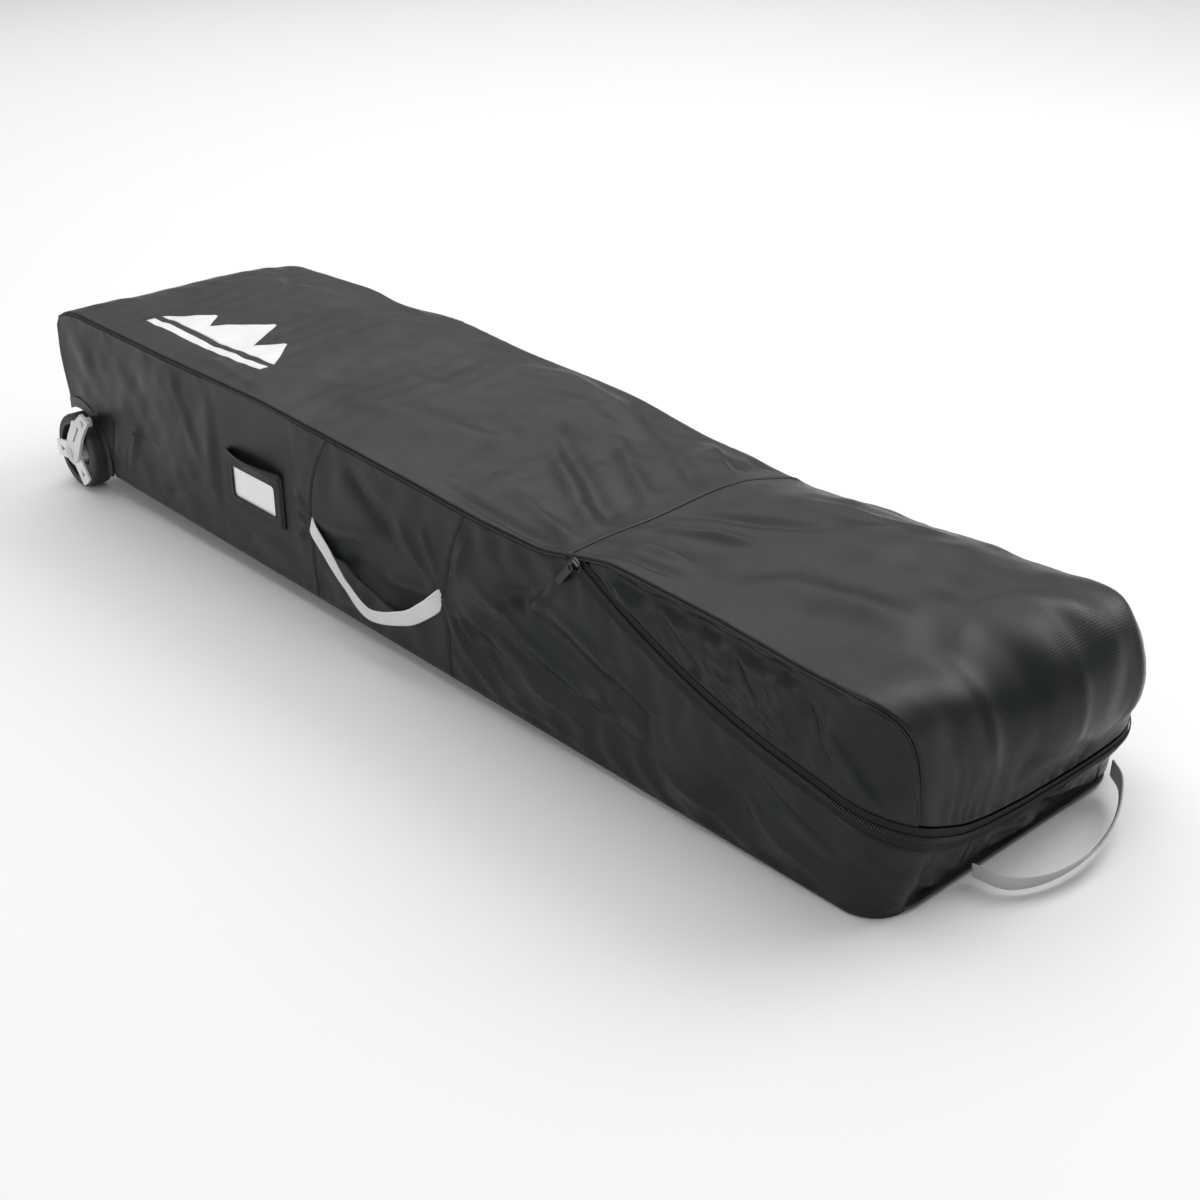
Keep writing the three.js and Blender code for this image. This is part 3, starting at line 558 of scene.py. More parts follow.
def link(tree, a, out, b, into):
    tree.links.new(a.outputs[out], b.inputs[into])


def add_node(tree, kind, inputs=None, **values):
    node = tree.nodes.new(kind)
    for key, value in values.items():
        setattr(node, key, value)
    for key, value in (inputs or {}).items():
        node.inputs[key].default_value = value
    return node


def noise_into(tree, scale, detail, output):
    """A noise texture in object space, with its strength remapped to a range."""
    place = add_node(tree, "ShaderNodeTexCoord")
    noise = add_node(tree, "ShaderNodeTexNoise", {"Scale": scale, "Detail": detail})
    link(tree, place, "Object", noise, "Vector")
    spread = add_node(tree, "ShaderNodeMapRange", {"From Min": 0.3, "From Max": 0.7})
    spread.inputs["To Min"].default_value, spread.inputs["To Max"].default_value = output
    link(tree, noise, "Fac", spread, "Value")
    return spread


def mixed_colour(tree, factor, dark, light):
    ramp = add_node(tree, "ShaderNodeMix", data_type="RGBA")
    link(tree, factor, 0, ramp, "Factor")
    ramp.inputs["A"].default_value = (*dark, 1)
    ramp.inputs["B"].default_value = (*light, 1)
    return ramp


def woven(name, dark, light, roughness, pitch, depth, gloss=0.3):
    """Woven cloth: two crossed sets of yarns, slow changes of tone, and an uneven sheen."""

    def build(tree, shader):
        uv = add_node(tree, "ShaderNodeUVMap", uv_map="UVMap")
        yarns = []
        for direction in ("X", "Y"):
            wave = add_node(tree, "ShaderNodeTexWave", {"Scale": 0.5 / pitch / 3.1416, "Distortion": 0.4})
            wave.bands_direction = direction
            link(tree, uv, "UV", wave, "Vector")
            yarns.append(wave)
        weave = add_node(tree, "ShaderNodeMath", operation="MULTIPLY")
        link(tree, yarns[0], "Fac", weave, 0)
        link(tree, yarns[1], "Fac", weave, 1)
        tone = add_node(tree, "ShaderNodeMath", operation="MULTIPLY_ADD")
        tone.inputs[1].default_value = 0.3
        link(tree, weave, 0, tone, 0)
        link(tree, noise_into(tree, 4.0, 4.0, (0.1, 0.8)), "Result", tone, 2)
        colour = mixed_colour(tree, tone, dark, light)
        link(tree, colour, "Result", shader, "Base Color")
        rough = noise_into(tree, 9.0, 3.0, (roughness - 0.06, roughness + 0.06))
        link(tree, rough, "Result", shader, "Roughness")
        bump = add_node(tree, "ShaderNodeBump", {"Strength": 0.5, "Distance": depth})
        link(tree, weave, 0, bump, "Height")
        link(tree, bump, "Normal", shader, "Normal")
        shader.inputs["Specular IOR Level"].default_value = gloss

    return node_material(name, build)


def solid(name, dark, light, roughness, metallic=0.0, grain=60.0, depth=0.0002):
    """Moulded plastic, rubber, metal or card: slight changes of tone and gloss, and a fine grain."""

    def build(tree, shader):
        colour = mixed_colour(tree, noise_into(tree, 14.0, 3.0, (0.0, 1.0)), dark, light)
        link(tree, colour, "Result", shader, "Base Color")
        rough = noise_into(tree, 30.0, 4.0, (roughness - 0.05, roughness + 0.07))
        link(tree, rough, "Result", shader, "Roughness")
        shader.inputs["Metallic"].default_value = metallic
        bump = add_node(tree, "ShaderNodeBump", {"Strength": 0.25, "Distance": depth})
        link(tree, noise_into(tree, grain * 12, 2.0, (0.0, 1.0)), "Result", bump, "Height")
        link(tree, bump, "Normal", shader, "Normal")

    return node_material(name, build)


def clear_film():
    def build(tree, shader):
        shader.inputs["Base Color"].default_value = (0.9, 0.91, 0.91, 1)
        shader.inputs["Alpha"].default_value = 0.05
        link(tree, noise_into(tree, 20.0, 2.0, (0.08, 0.2)), "Result", shader, "Roughness")

    return node_material("clear_film", build)


FABRIC = woven("shell_cloth", (0.0070, 0.0091, 0.0089), (0.0134, 0.0170, 0.0166), 0.35, 0.0009, 0.00025, 0.24)
LINING = woven("lining_cloth", (0.05, 0.052, 0.055), (0.08, 0.083, 0.086), 0.7, 0.0009, 0.0003)
ZIP_TAPE = woven("zip_tape_cloth", (0.0022, 0.0024, 0.0026), (0.0045, 0.005, 0.0052), 0.62, 0.0012, 0.0004)
COIL = solid("zip_coil", (0.014, 0.015, 0.016), (0.024, 0.026, 0.027), 0.35)
SEWING_THREAD = solid("sewing_thread", (0.007, 0.0075, 0.008), (0.013, 0.014, 0.0145), 0.5)
PALE_THREAD = solid("pale_thread", (0.42, 0.425, 0.425), (0.5, 0.505, 0.505), 0.6)
PIPING = solid("piping", (0.006, 0.0065, 0.007), (0.011, 0.012, 0.012), 0.5)
WEBBING = woven("grey_webbing", (0.60, 0.61, 0.61), (0.78, 0.79, 0.79), 0.75, 0.0016, 0.0006)
# The nose handle's webbing is the side handle's grey webbing made darker: painted shade, for the nose handle
# lying in shade.
SHADED_NOSE_WEBBING = woven("nose_webbing_painted_shade", (0.33, 0.337, 0.337), (0.45, 0.46, 0.46), 0.75, 0.0016, 0.0006)
BLACK_WEBBING = woven("black_webbing", (0.010, 0.010, 0.011), (0.02, 0.02, 0.021), 0.7, 0.0016, 0.0006)
FOAM = woven("foam_cloth", (0.035, 0.037, 0.04), (0.06, 0.062, 0.066), 0.8, 0.002, 0.0006)
PRINT = solid("printed_mark", (0.72, 0.73, 0.73), (0.82, 0.83, 0.83), 0.5)
ZIP_METAL = solid("zip_stop_metal", (0.03, 0.032, 0.034), (0.05, 0.052, 0.055), 0.35, 0.9)
CAD_LOOKS = {
    "wheel_tyre": solid("tyre_rubber", (0.022, 0.024, 0.025), (0.036, 0.038, 0.04), 0.62),
    "wheel_rim": solid("rim_plastic", (0.008, 0.009, 0.0095), (0.014, 0.015, 0.016), 0.42),
    "wheel_spokes": solid("spoke_plastic", (0.76, 0.77, 0.77), (0.84, 0.85, 0.85), 0.32),
    "wheel_housing": solid("housing_plastic", (0.008, 0.009, 0.0095), (0.014, 0.015, 0.016), 0.4),
    "axle_arm": solid("arm_plastic", (0.60, 0.61, 0.61), (0.70, 0.71, 0.71), 0.36),
    "axle_cap": solid("cap_plastic", (0.55, 0.56, 0.56), (0.64, 0.65, 0.65), 0.36),
    "arm_screw": solid("screw_steel", (0.45, 0.46, 0.47), (0.6, 0.61, 0.62), 0.25, 1.0),
    "wheel_axle": solid("axle_steel", (0.5, 0.51, 0.52), (0.62, 0.63, 0.64), 0.22, 1.0),
    "outer_bearing": solid("bearing_steel", (0.5, 0.51, 0.52), (0.62, 0.63, 0.64), 0.22, 1.0),
    "zip_slider": solid("slider_metal", (0.014, 0.015, 0.016), (0.026, 0.028, 0.03), 0.26, 0.5),
    "zip_pull_tab": solid("tab_metal", (0.010, 0.0105, 0.011), (0.018, 0.019, 0.02), 0.3, 0.3),
    "id_card": solid("card_paper", (0.90, 0.90, 0.89), (0.95, 0.95, 0.94), 0.6),
    "id_window_film": clear_film(),
    "base_stiffener": solid("stiffener_sheet", (0.012, 0.013, 0.014), (0.02, 0.021, 0.022), 0.45),
    "board_buckle": solid("buckle_plastic", (0.010, 0.0105, 0.011), (0.017, 0.018, 0.019), 0.35),
}
CAD_LOOKS["inner_bearing"] = CAD_LOOKS["outer_bearing"]


def dress_cad_nodes():
    """Finishes of the CAD nodes that stay, with their edges softened."""
    for node, obj in frame["nodes"].items():
        look = next((m for prefix, m in CAD_LOOKS.items() if node.startswith(prefix)), None)
        if look is None:
            continue
        obj.data.materials.clear()
        obj.data.materials.append(look)
        obj.data.shade_smooth()
        bevel = obj.modifiers.new("soft_edges", "BEVEL")
        bevel.width = 0.0002 if node.startswith(("id_", "base_")) else 0.0005
        bevel.segments = 2
        bevel.limit_method = "ANGLE"
        bevel.angle_limit = math.radians(35)
        bevel.harden_normals = True


dress_cad_nodes()

# ---------------------------------------------------------------- the shell's panels


def constant(value):
    return lambda z: np.full(np.shape(z), float(value))


def mirror(line):
    return lambda z: 2 * S_MIDDLE - line(z)


def rear_seam(z):
    return -0.142 + 0.047 * np.clip((z - 0.12) / 0.125, 0, 1.1) ** 2


def front_seam(z):
    pull = 0.012 * np.exp(-(((z - 0.112) / 0.02) ** 2))
    return 0.152 + 0.033 * np.clip((z - 0.12) / 0.12, 0, 1.1) ** 2 - pull


def below_zip(s):
    return np.minimum(SEAM_Z, zip_height(s) - ZIP_EDGE)


NOSE_NEAR, NOSE_FAR = constant(S_MIDDLE - 0.083), constant(S_MIDDLE + 0.15)

# The edge of the side panel over a wheel: an arc about the wheel, then level to the rear corner.
WHEEL_PLACE = np.array(JOINT["wheel_spin_near"]["pos_m"], float) - ORIGIN
WHEEL_X, WHEEL_Z = WHEEL_PLACE @ ALONG, WHEEL_PLACE @ UP
ARCH = 0.0815
ARCH_TOP = WHEEL_Z + ARCH


def arch_edge(z):
    """Where the rear side panel begins at each height: the wheel arch below, the rear corner above."""
    z = np.asarray(z, float)
    over = np.clip((z - WHEEL_Z) / ARCH, -1, 1)
    arc = WHEEL_X + ARCH * np.sqrt(1 - over**2)
    below = WHEEL_X + ARCH + 0 * z
    edge = np.where(z < WHEEL_Z, below, arc)
    return mix(edge, REAR_X, smoothstep(ARCH_TOP - 0.004, ARCH_TOP + 0.004, z))


# Folds: both ends in a panel's flat coordinates, half width and height. Those of a wall are s and z.
# Those of a top are along and across, from the rear edge of the rear top or the hinge, and from the near side.
FOLD_STRENGTH = 2.1
REAR_FOLDS = [
    ((-0.150, 0.125), (-0.235, 0.185), 0.006, 0.0022), ((-0.150, 0.108), (-0.215, 0.142), 0.005, 0.0020),
    ((-0.150, 0.098), (-0.24, 0.06), 0.007, 0.0022), ((-0.150, 0.092), (-0.30, 0.035), 0.008, 0.0018),
    ((-0.20, 0.235), (-0.17, 0.15), 0.008, -0.0018), ((-0.66, 0.02), (-0.60, 0.13), 0.010, 0.0020),
    ((-0.70, 0.03), (-0.67, 0.12), 0.009, 0.0018), ((-0.50, 0.24), (-0.42, 0.10), 0.014, 0.0018),
    ((-0.40, 0.235), (-0.29, 0.19), 0.010, -0.0016), ((-0.55, 0.03), (-0.44, 0.07), 0.012, -0.0016),
]
MIDDLE_FOLDS = [
    ((-0.135, 0.115), (0.03, 0.155), 0.010, 0.0028), ((-0.130, 0.10), (0.10, 0.05), 0.010, 0.0028),
    ((0.145, 0.118), (0.02, 0.10), 0.008, 0.0024), ((0.145, 0.112), (0.05, 0.19), 0.010, 0.0026),
    ((-0.07, 0.235), (0.08, 0.15), 0.012, -0.0022), ((0.10, 0.20), (0.145, 0.13), 0.007, 0.0022),
    ((-0.10, 0.02), (0.0, 0.05), 0.009, 0.0018), ((-0.12, 0.06), (-0.02, 0.10), 0.007, -0.0024),
]
FRONT_FOLDS = [
    ((0.155, 0.112), (0.30, 0.035), 0.006, 0.0034), ((0.155, 0.118), (0.36, 0.055), 0.007, -0.0030),
    ((0.158, 0.122), (0.42, 0.035), 0.006, 0.0036), ((0.17, 0.14), (0.48, 0.05), 0.008, -0.0032),
    ((0.19, 0.17), (0.54, 0.045), 0.006, 0.0040), ((0.22, 0.20), (0.50, 0.09), 0.010, -0.0026),
    ((0.30, 0.20), (0.58, 0.08), 0.009, 0.0026), ((0.37, 0.235), (0.30, 0.15), 0.008, 0.0028),
    ((0.36, 0.22), (0.22, 0.14), 0.010, -0.0024), ((0.155, 0.10), (0.24, 0.02), 0.006, 0.0026),
    ((0.156, 0.105), (0.21, 0.06), 0.004, -0.0022), ((0.20, 0.225), (0.165, 0.14), 0.006, 0.0026),
    ((0.60, 0.10), (0.74, 0.03), 0.012, 0.0026), ((0.66, 0.11), (0.80, 0.05), 0.010, -0.0024),
    ((0.80, 0.09), (0.87, 0.02), 0.009, 0.0028), ((0.52, 0.05), (0.66, 0.02), 0.010, 0.0020),
    ((0.25, 0.03), (0.42, 0.012), 0.006, 0.0020), ((0.88, 0.07), (0.90, 0.015), 0.006, -0.0024),
]
NOSE_FOLDS = [
    ((0.965, 0.05), (1.02, 0.012), 0.006, 0.0026), ((0.975, 0.03), (1.06, 0.018), 0.006, -0.0022),
    ((1.00, 0.05), (1.09, 0.01), 0.009, 0.0024), ((1.06, 0.045), (1.12, 0.012), 0.008, -0.0022),
    ((1.10, 0.05), (1.17, 0.02), 0.007, 0.0024),
]
GUSSET_FOLDS = [
    ((0.44, 0.235), (0.52, 0.20), 0.006, 0.0020), ((0.50, 0.235), (0.60, 0.17), 0.007, -0.0022),
    ((0.56, 0.23), (0.66, 0.165), 0.006, 0.0024), ((0.62, 0.235), (0.70, 0.15), 0.008, -0.0022),
    ((0.68, 0.23), (0.74, 0.15), 0.006, 0.0026), ((0.73, 0.235), (0.79, 0.14), 0.007, -0.0022),
    ((0.76, 0.23), (0.83, 0.12), 0.006, 0.0024), ((0.60, 0.20), (0.74, 0.16), 0.006, 0.0018),
]
REAR_TOP_FOLDS = [
    ((1.20, 0.06), (0.96, 0.20), 0.012, 0.0034), ((1.19, 0.10), (0.90, 0.26), 0.012, -0.0030),
    ((1.20, 0.03), (1.02, 0.08), 0.009, 0.0028), ((1.19, 0.16), (0.98, 0.30), 0.012, 0.0030),
    ((1.20, 0.24), (1.02, 0.36), 0.013, -0.0026), ((1.195, 0.30), (1.06, 0.40), 0.010, 0.0026),
    ((1.20, 0.012), (0.92, 0.03), 0.007, -0.0024), ((0.60, 0.10), (0.95, 0.14), 0.030, 0.0036),
    ((0.45, 0.30), (0.80, 0.22), 0.035, -0.0034), ((0.10, 0.30), (0.40, 0.36), 0.025, 0.0028),
    ((0.05, 0.40), (0.22, 0.30), 0.014, -0.0024), ((0.75, 0.40), (1.05, 0.33), 0.016, 0.0028),
    ((0.20, 0.43), (0.50, 0.38), 0.010, 0.0022), ((0.35, 0.04), (0.62, 0.02), 0.010, 0.0020),
]
LID_TOP_FOLDS = [
    ((0.005, 0.10), (0.16, 0.18), 0.010, 0.0030), ((0.005, 0.16), (0.20, 0.26), 0.012, -0.0028),
    ((0.004, 0.05), (0.14, 0.07), 0.008, 0.0026), ((0.01, 0.02), (0.18, 0.04), 0.006, -0.0024),
    ((0.08, 0.30), (0.30, 0.36), 0.016, 0.0030), ((0.20, 0.10), (0.42, 0.16), 0.030, 0.0040),
    ((0.25, 0.28), (0.45, 0.22), 0.030, -0.0036), ((0.10, 0.40), (0.30, 0.43), 0.008, 0.0024),
]


def bell_curve(x, centre, width):
    return np.exp(-(((x - centre) / width) ** 2))


def edge_distance(flat):
    """How far each place on a panel is from the panel's nearest border, in metres."""

    def to_border(line, axis):
        return np.linalg.norm(flat - np.take(flat, [line], axis), axis=-1)

    return np.minimum.reduce([to_border(0, 0), to_border(-1, 0), to_border(0, 1), to_border(-1, 1)])


def relief(uv, distance, seed, swell=0.0018, pucker=0.0009, folds=()):
    """Height of the cloth's own relief: slow swells, gathers at the seams and listed folds."""
    u, v = uv[..., 0], uv[..., 1]
    inside = smoothstep(0.0, 0.07, distance)
    height = swell * ripple(u, v, 0.16, seed) * inside
    height += 0.35 * swell * ripple(u, v, 0.055, seed + 1) * inside
    gather = np.sin(2 * math.pi * (u + v * 0.6) / 0.017 + 2.2 * ripple(u, v, 0.05, seed + 2))
    patchy = smoothstep(-0.2, 1.0, ripple(u, v, 0.11, seed + 3))
    height += pucker * gather * patchy * smoothstep(0.001, 0.006, distance) * np.exp(-distance / 0.016)
    for start, end, width, tall in folds:
        height += FOLD_STRENGTH * fold(u, v, start, end, width, tall) * smoothstep(0, 0.012, distance)
    height -= 0.0012 * np.exp(-((distance / 0.0014) ** 2))
    height += 0.0006 * np.exp(-(((distance - 0.0042) / 0.0024) ** 2))
    return height


# How much of the simulated creases each panel keeps, where it isn't USUAL_SLACK.
USUAL_SLACK = 0.45
SLACK = {"rear_top": 0.16, "lid_top": 0.2, "rear_side_near": 0.2, "middle_side_near": 0.35,
         "front_side_near": 0.8, "lid_side_near": 0.7}


class Panel:
    """A stretch of the shell: a surface over a unit square, and its flat coordinates in metres."""

    def __init__(self, name, node, body, surface, flat, size, seed, rows=None, options=None, flat_area=None):
        self.name, self.node, self.body = name, node, body
        self.surface, self.flat, self.size, self.seed = surface, flat, size, seed
        self.rows, self.options, self.flat_area = rows, options or {}, flat_area
        self.creases = None
        self.slack = SLACK.get(name, USUAL_SLACK)

    def grid(self, step):
        """Finely spaced places near the borders, and evenly spaced ones between."""
        a = graded(self.size[0], step)
        b = graded(self.size[1], step) if self.rows is None else self.rows
        return a, b

    def base(self, a, b):
        return self.surface(*np.meshgrid(a, b, indexing="ij"))

    def build(self, step):
        a, b = self.grid(step)
        points = self.base(a, b)
        flat = self.flat(*np.meshgrid(a, b, indexing="ij"))
        distance = edge_distance(flat)
        options = dict(self.options)
        extra = options.pop("extra", None)
        height = relief(flat, distance, self.seed, **options)
        if extra is not None:
            height = height + extra(flat, distance)
        if self.creases is not None:
            shape = self.creases.shape
            creases = spline_weights(a, shape[0]) @ self.creases @ spline_weights(b, shape[1]).T
            height = height + creases * smoothstep(0.001, 0.008, distance)
        if self.flat_area is not None:
            height = mix(height, -0.0004, self.flat_area(flat[..., 0], flat[..., 1]))
        points = points + grid_normals(points) * height[..., None]
        obj = sheet_mesh(self.name, points, FABRIC_THICKNESS, self.body, FABRIC, flat, LINING)
        return dress(obj, self.node)


def wall_panel(name, node, body, s_low, s_high, z_low, z_high, seed, rows=None, **options):
    """A panel of the standing wall, between two borders along it and two up it."""
    tall = 0.16 if callable(z_low) else SEAM_Z
    size = (float(s_high(0.15) - s_low(0.15)), tall)

    def flat(a, b):
        guess = b * SEAM_Z
        s = mix(s_low(guess), s_high(guess), a)
        low = z_low(s) if callable(z_low) else z_low
        high = z_high(s) if callable(z_high) else z_high
        return np.stack([s, mix(low, high, b)], -1)

    def surface(a, b):
        place = flat(a, b)
        return wall(place[..., 0], place[..., 1])

    return Panel(name, node, body, surface, flat, size, seed, rows, options, card_wall)


def top_panel(name, node, body, surface, length, seed, **options):
    def flat(a, b):
        return np.stack([a * length, b * 2 * HALF], -1)

    return Panel(name, node, body, surface, flat, (length, 2 * HALF), seed, None, options)


def gusset_top(s):
    return lid_edge_height(np.where(s > S_MIDDLE, 2 * S_MIDDLE - s, s))


def gusset_bottom(s):
    return np.minimum(zip_height(s) + ZIP_EDGE, gusset_top(s) - 0.001)


def wheel_end(a, b):
    """The rear end panel: a across the bag, b up it, bulging a little."""
    z = b * SEAM_Z
    p = mix(wall(REAR_X, z), wall(2 * S_MIDDLE - REAR_X, z), a[..., None])
    p[..., 0] -= 0.008 * np.sin(math.pi * a) ** 0.7 * np.sin(math.pi * np.clip(b, 0, 1)) ** 0.7
    return p


ARCH_HALF = 0.151


def wheel_end_flat(a, b):
    """Flat coordinates of the rear end panel, cut away over both wheels."""
    across = (a - 0.5) * 2 * HALF
    over_wheel = smoothstep(ARCH_HALF - 0.003, ARCH_HALF + 0.003, np.abs(across))
    low = over_wheel * (ARCH_TOP - 0.004)
    return np.stack([across + HALF, mix(low, SEAM_Z, b)], -1)


def wheel_end_surface(a, b):
    flat = wheel_end_flat(a, b)
    return wheel_end(flat[..., 0] / (2 * HALF), flat[..., 1] / SEAM_Z)


LID_TOP_LENGTH = 0.62


def nose_gathers(flat, distance):
    """The lid over the nose: a ridge where the top turns down, hollows below it, and upright wrinkles."""
    u, v = flat[..., 0], flat[..., 1]
    down = LID_TOP_LENGTH - u
    wave = np.sin(2 * math.pi * v / 0.026 + 1.8 * ripple(u * 0.3, v, 0.09, 881))
    sharp = np.sign(wave) * np.abs(wave) ** 1.3
    reach = 0.03 + 0.03 * smoothstep(-0.5, 0.8, ripple(0 * u, v, 0.08, 885))
    strength = smoothstep(-0.6, 0.6, ripple(0 * u, v, 0.12, 887))
    height = 0.0016 * sharp * strength * np.exp(-((down / reach) ** 2))
    near_corner = bell_curve(v, 0.05, 0.05)
    height += 0.003 * bell_curve(u, 0.452 + 0.1 * v, 0.022) * near_corner
    height -= 0.0035 * bell_curve(u, 0.515, 0.026) * bell_curve(v, 0.062, 0.042)
    for centre, width, tall in ((0.125, 0.009, 0.0022), (0.19, 0.014, -0.0014), (0.262, 0.009, 0.0013),
                                (0.35, 0.014, -0.0012), (0.385, 0.009, 0.0017)):
        lean = centre + 0.12 * (0.56 - u)
        over_nose = smoothstep(0.42, 0.50, u) * (1 - smoothstep(0.56, 0.61, u))
        height += tall * bell_curve(v, lean, width) * over_nose
    height += 0.004 * bell_curve(u, 0.46 + 0.03 * np.sin(v * 22), 0.016) * smoothstep(0.12, 0.2, v)
    return height * smoothstep(0, 0.008, distance)


def lid_overhang(flat, distance):
    """The hollow under the lid's near edge, where the loose cloth folds in below the seam."""
    s, z = flat[..., 0], flat[..., 1]
    along = smoothstep(0.41, 0.47, s) * (1 - smoothstep(0.70, 0.78, s))
    below = gusset_top(s) - z
    hollow = -0.0045 * along * bell_curve(below, 0.012, 0.008)
    return hollow + 0.0025 * along * bell_curve(below, 0.028, 0.009)


# The cloth simulation: its length, its cells, the highest crease kept, and the blur that finds the creases.
CLOTH_FRAMES, CLOTH_CELL, CLOTH_CAP, CLOTH_BLUR = 22, 0.010, 0.006, 6


def spline_weights(at, count):
    """Weights that carry values at evenly spaced knots to a smooth curve through other places."""
    place = np.clip(at, 0, 1) * (count - 1)
    knot = np.minimum(place.astype(int), count - 2)
    t = place - knot
    weights = [(1 - t) ** 3, 3 * t**3 - 6 * t**2 + 4, -3 * t**3 + 3 * t**2 + 3 * t + 1, t**3]
    matrix = np.zeros((len(at), count))
    for step, weight in zip((-1, 0, 1, 2), weights):
        np.add.at(matrix, (np.arange(len(at)), np.clip(knot + step, 0, count - 1)), weight / 6)
    return matrix


def blurred(values, cells):
    """Values on a grid, smoothed over a number of cells each way."""
    reach = np.arange(-3 * cells, 3 * cells + 1)
    kernel = np.exp(-0.5 * (reach / cells) ** 2)
    for axis in (0, 1):
        rolled = np.moveaxis(values, axis, 0)
        padded = np.pad(rolled, ((3 * cells, 3 * cells), (0, 0)), mode="reflect", reflect_type="odd")
        soft = np.stack([np.convolve(column, kernel / kernel.sum(), "valid") for column in padded.T], -1)
        values = np.moveaxis(soft, 0, axis)
    return values


def cloth_object(panel, count):
    """A coarse copy of a panel, cut a little larger than its place and held along its seams."""
    a, b = (np.linspace(0, 1, n) for n in count)
    base = panel.base(a, b)
    outward = grid_normals(base)
    across, up = np.meshgrid(a * panel.size[0], b * panel.size[1], indexing="ij")
    uneven = 0.0008 * ripple(across, up, 0.05, panel.seed + 5)
    front, _, _ = sheet_faces(*count)
    points = (base + outward * uneven[..., None]).reshape(-1, 3)
    obj = make_piece("cloth_" + panel.name, points, front.tolist(), None, FABRIC)
    index = np.arange(count[0] * count[1]).reshape(count)
    border = np.unique(np.concatenate([index[0], index[-1], index[:, 0], index[:, -1]]))
    obj.vertex_groups.new(name="seams").add(border.tolist(), 1.0, "REPLACE")
    cloth = obj.modifiers.new("cloth", "CLOTH")
    cloth.settings.quality = 5
    cloth.settings.mass = 0.02
    cloth.settings.tension_stiffness = cloth.settings.compression_stiffness = 20
    cloth.settings.shear_stiffness = 10
    cloth.settings.bending_stiffness = 0.05
    cloth.settings.shrink_min = -0.03
    cloth.settings.vertex_group_mass = "seams"
    cloth.settings.use_pressure = True
    cloth.settings.uniform_pressure_force = 1.0
    cloth.settings.effector_weights.gravity = 0
    cloth.collision_settings.use_collision = False
    cloth.point_cache.frame_start, cloth.point_cache.frame_end = 1, CLOTH_FRAMES
    return obj, base, outward


def settle_cloth(panels):
    """Lets loose cloth crease inside its seams, and keeps the creases as relief for the fine panels."""
    made = []
    for panel in panels:
        count = tuple(max(9, round(length / CLOTH_CELL) + 1) for length in panel.size)
        made.append((panel, *cloth_object(panel, count)))
    for frame_number in range(1, CLOTH_FRAMES + 1):
        bpy.context.scene.frame_set(frame_number)
    graph = bpy.context.evaluated_depsgraph_get()
    for panel, obj, base, outward in made:
        evaluated = obj.evaluated_get(graph)
        settled = evaluated.to_mesh()
        places = np.zeros(len(settled.vertices) * 3)
        settled.vertices.foreach_get("co", places)
        evaluated.to_mesh_clear()
        moved = turn_to_bag(places.reshape(-1, 3) - to_row(base.reshape(-1, 3)))
        height = (moved.reshape(base.shape) * outward).sum(-1)
        creases = height - blurred(height, CLOTH_BLUR)
        panel.creases = panel.slack * CLOTH_CAP * np.tanh(creases / CLOTH_CAP)
        bpy.data.objects.remove(obj)
    bpy.context.scene.frame_set(1)


ARCH_ROWS = np.unique(np.concatenate([
    np.linspace(0, 0.012, 5), np.linspace(0.012, 0.085, 14), np.linspace(0.085, 0.125, 26),
    np.linspace(0.125, 0.24, 20), np.linspace(0.24, SEAM_Z, 6),
])) / SEAM_Z

GUSSET_START = 0.408
FAR_SWELL, TOP_SWELL = 0.0028, 0.0022
PANELS = [
    wall_panel("rear_side_near", "side_rear_panel_near", "shell", arch_edge, rear_seam, 0.0, SEAM_Z, 11,
               ARCH_ROWS, folds=REAR_FOLDS),
    wall_panel("middle_side_near", "side_middle_panel_near", "shell", rear_seam, front_seam, 0.0, SEAM_Z, 21,
               folds=MIDDLE_FOLDS),
    wall_panel("front_side_near", "side_front_panel_near", "shell", front_seam, NOSE_NEAR, 0.0, below_zip, 31,
               folds=FRONT_FOLDS),
    wall_panel("nose_lower", "nose_lower_panel", "shell", NOSE_NEAR, NOSE_FAR, 0.0, below_zip, 41,
               folds=NOSE_FOLDS),
    wall_panel("front_side_far", "side_front_panel_far", "shell", NOSE_FAR, mirror(front_seam), 0.0,
               below_zip, 51, swell=FAR_SWELL),
    wall_panel("middle_side_far", "side_middle_panel_far", "shell", mirror(front_seam), mirror(rear_seam),
               0.0, SEAM_Z, 61, swell=FAR_SWELL),
    wall_panel("rear_side_far", "side_rear_panel_far", "shell", mirror(rear_seam), mirror(arch_edge), 0.0,
               SEAM_Z, 71, ARCH_ROWS, swell=FAR_SWELL),
    top_panel("rear_top", "top_rear_panel", "shell", top_rear, LID_X - REAR_X, 91, swell=TOP_SWELL,
              folds=REAR_TOP_FOLDS),
    top_panel("lid_top", "lid_top_panel", "lid", lid_top, LID_TOP_LENGTH, 101, swell=TOP_SWELL,
              folds=LID_TOP_FOLDS, extra=nose_gathers),
    wall_panel("lid_side_near", "lid_gusset_near", "lid", constant(GUSSET_START), constant(LID_EDGE[-1, 0]),
               gusset_bottom, gusset_top, 111, folds=GUSSET_FOLDS, extra=lid_overhang),
    wall_panel("lid_side_far", "lid_gusset_far", "lid", constant(2 * S_MIDDLE - LID_EDGE[-1, 0]),
               constant(2 * S_MIDDLE - GUSSET_START), gusset_bottom, gusset_top, 121),
    Panel("rear_end", "wheel_end_panel", "shell", wheel_end_surface, wheel_end_flat, (2 * HALF, SEAM_Z), 131),
]

settle_cloth(PANELS)
FINE_STEP, STEP = 0.003, 0.006
SHELL = {panel.name: panel.build(FINE_STEP if "gusset" in panel.node else STEP) for panel in PANELS}

# ---------------------------------------------------------------- the base and what lies inside

ALONG_X = np.array([1.0, 0.0, 0.0])
UPWARD = np.array([0.0, 0.0, 1.0])


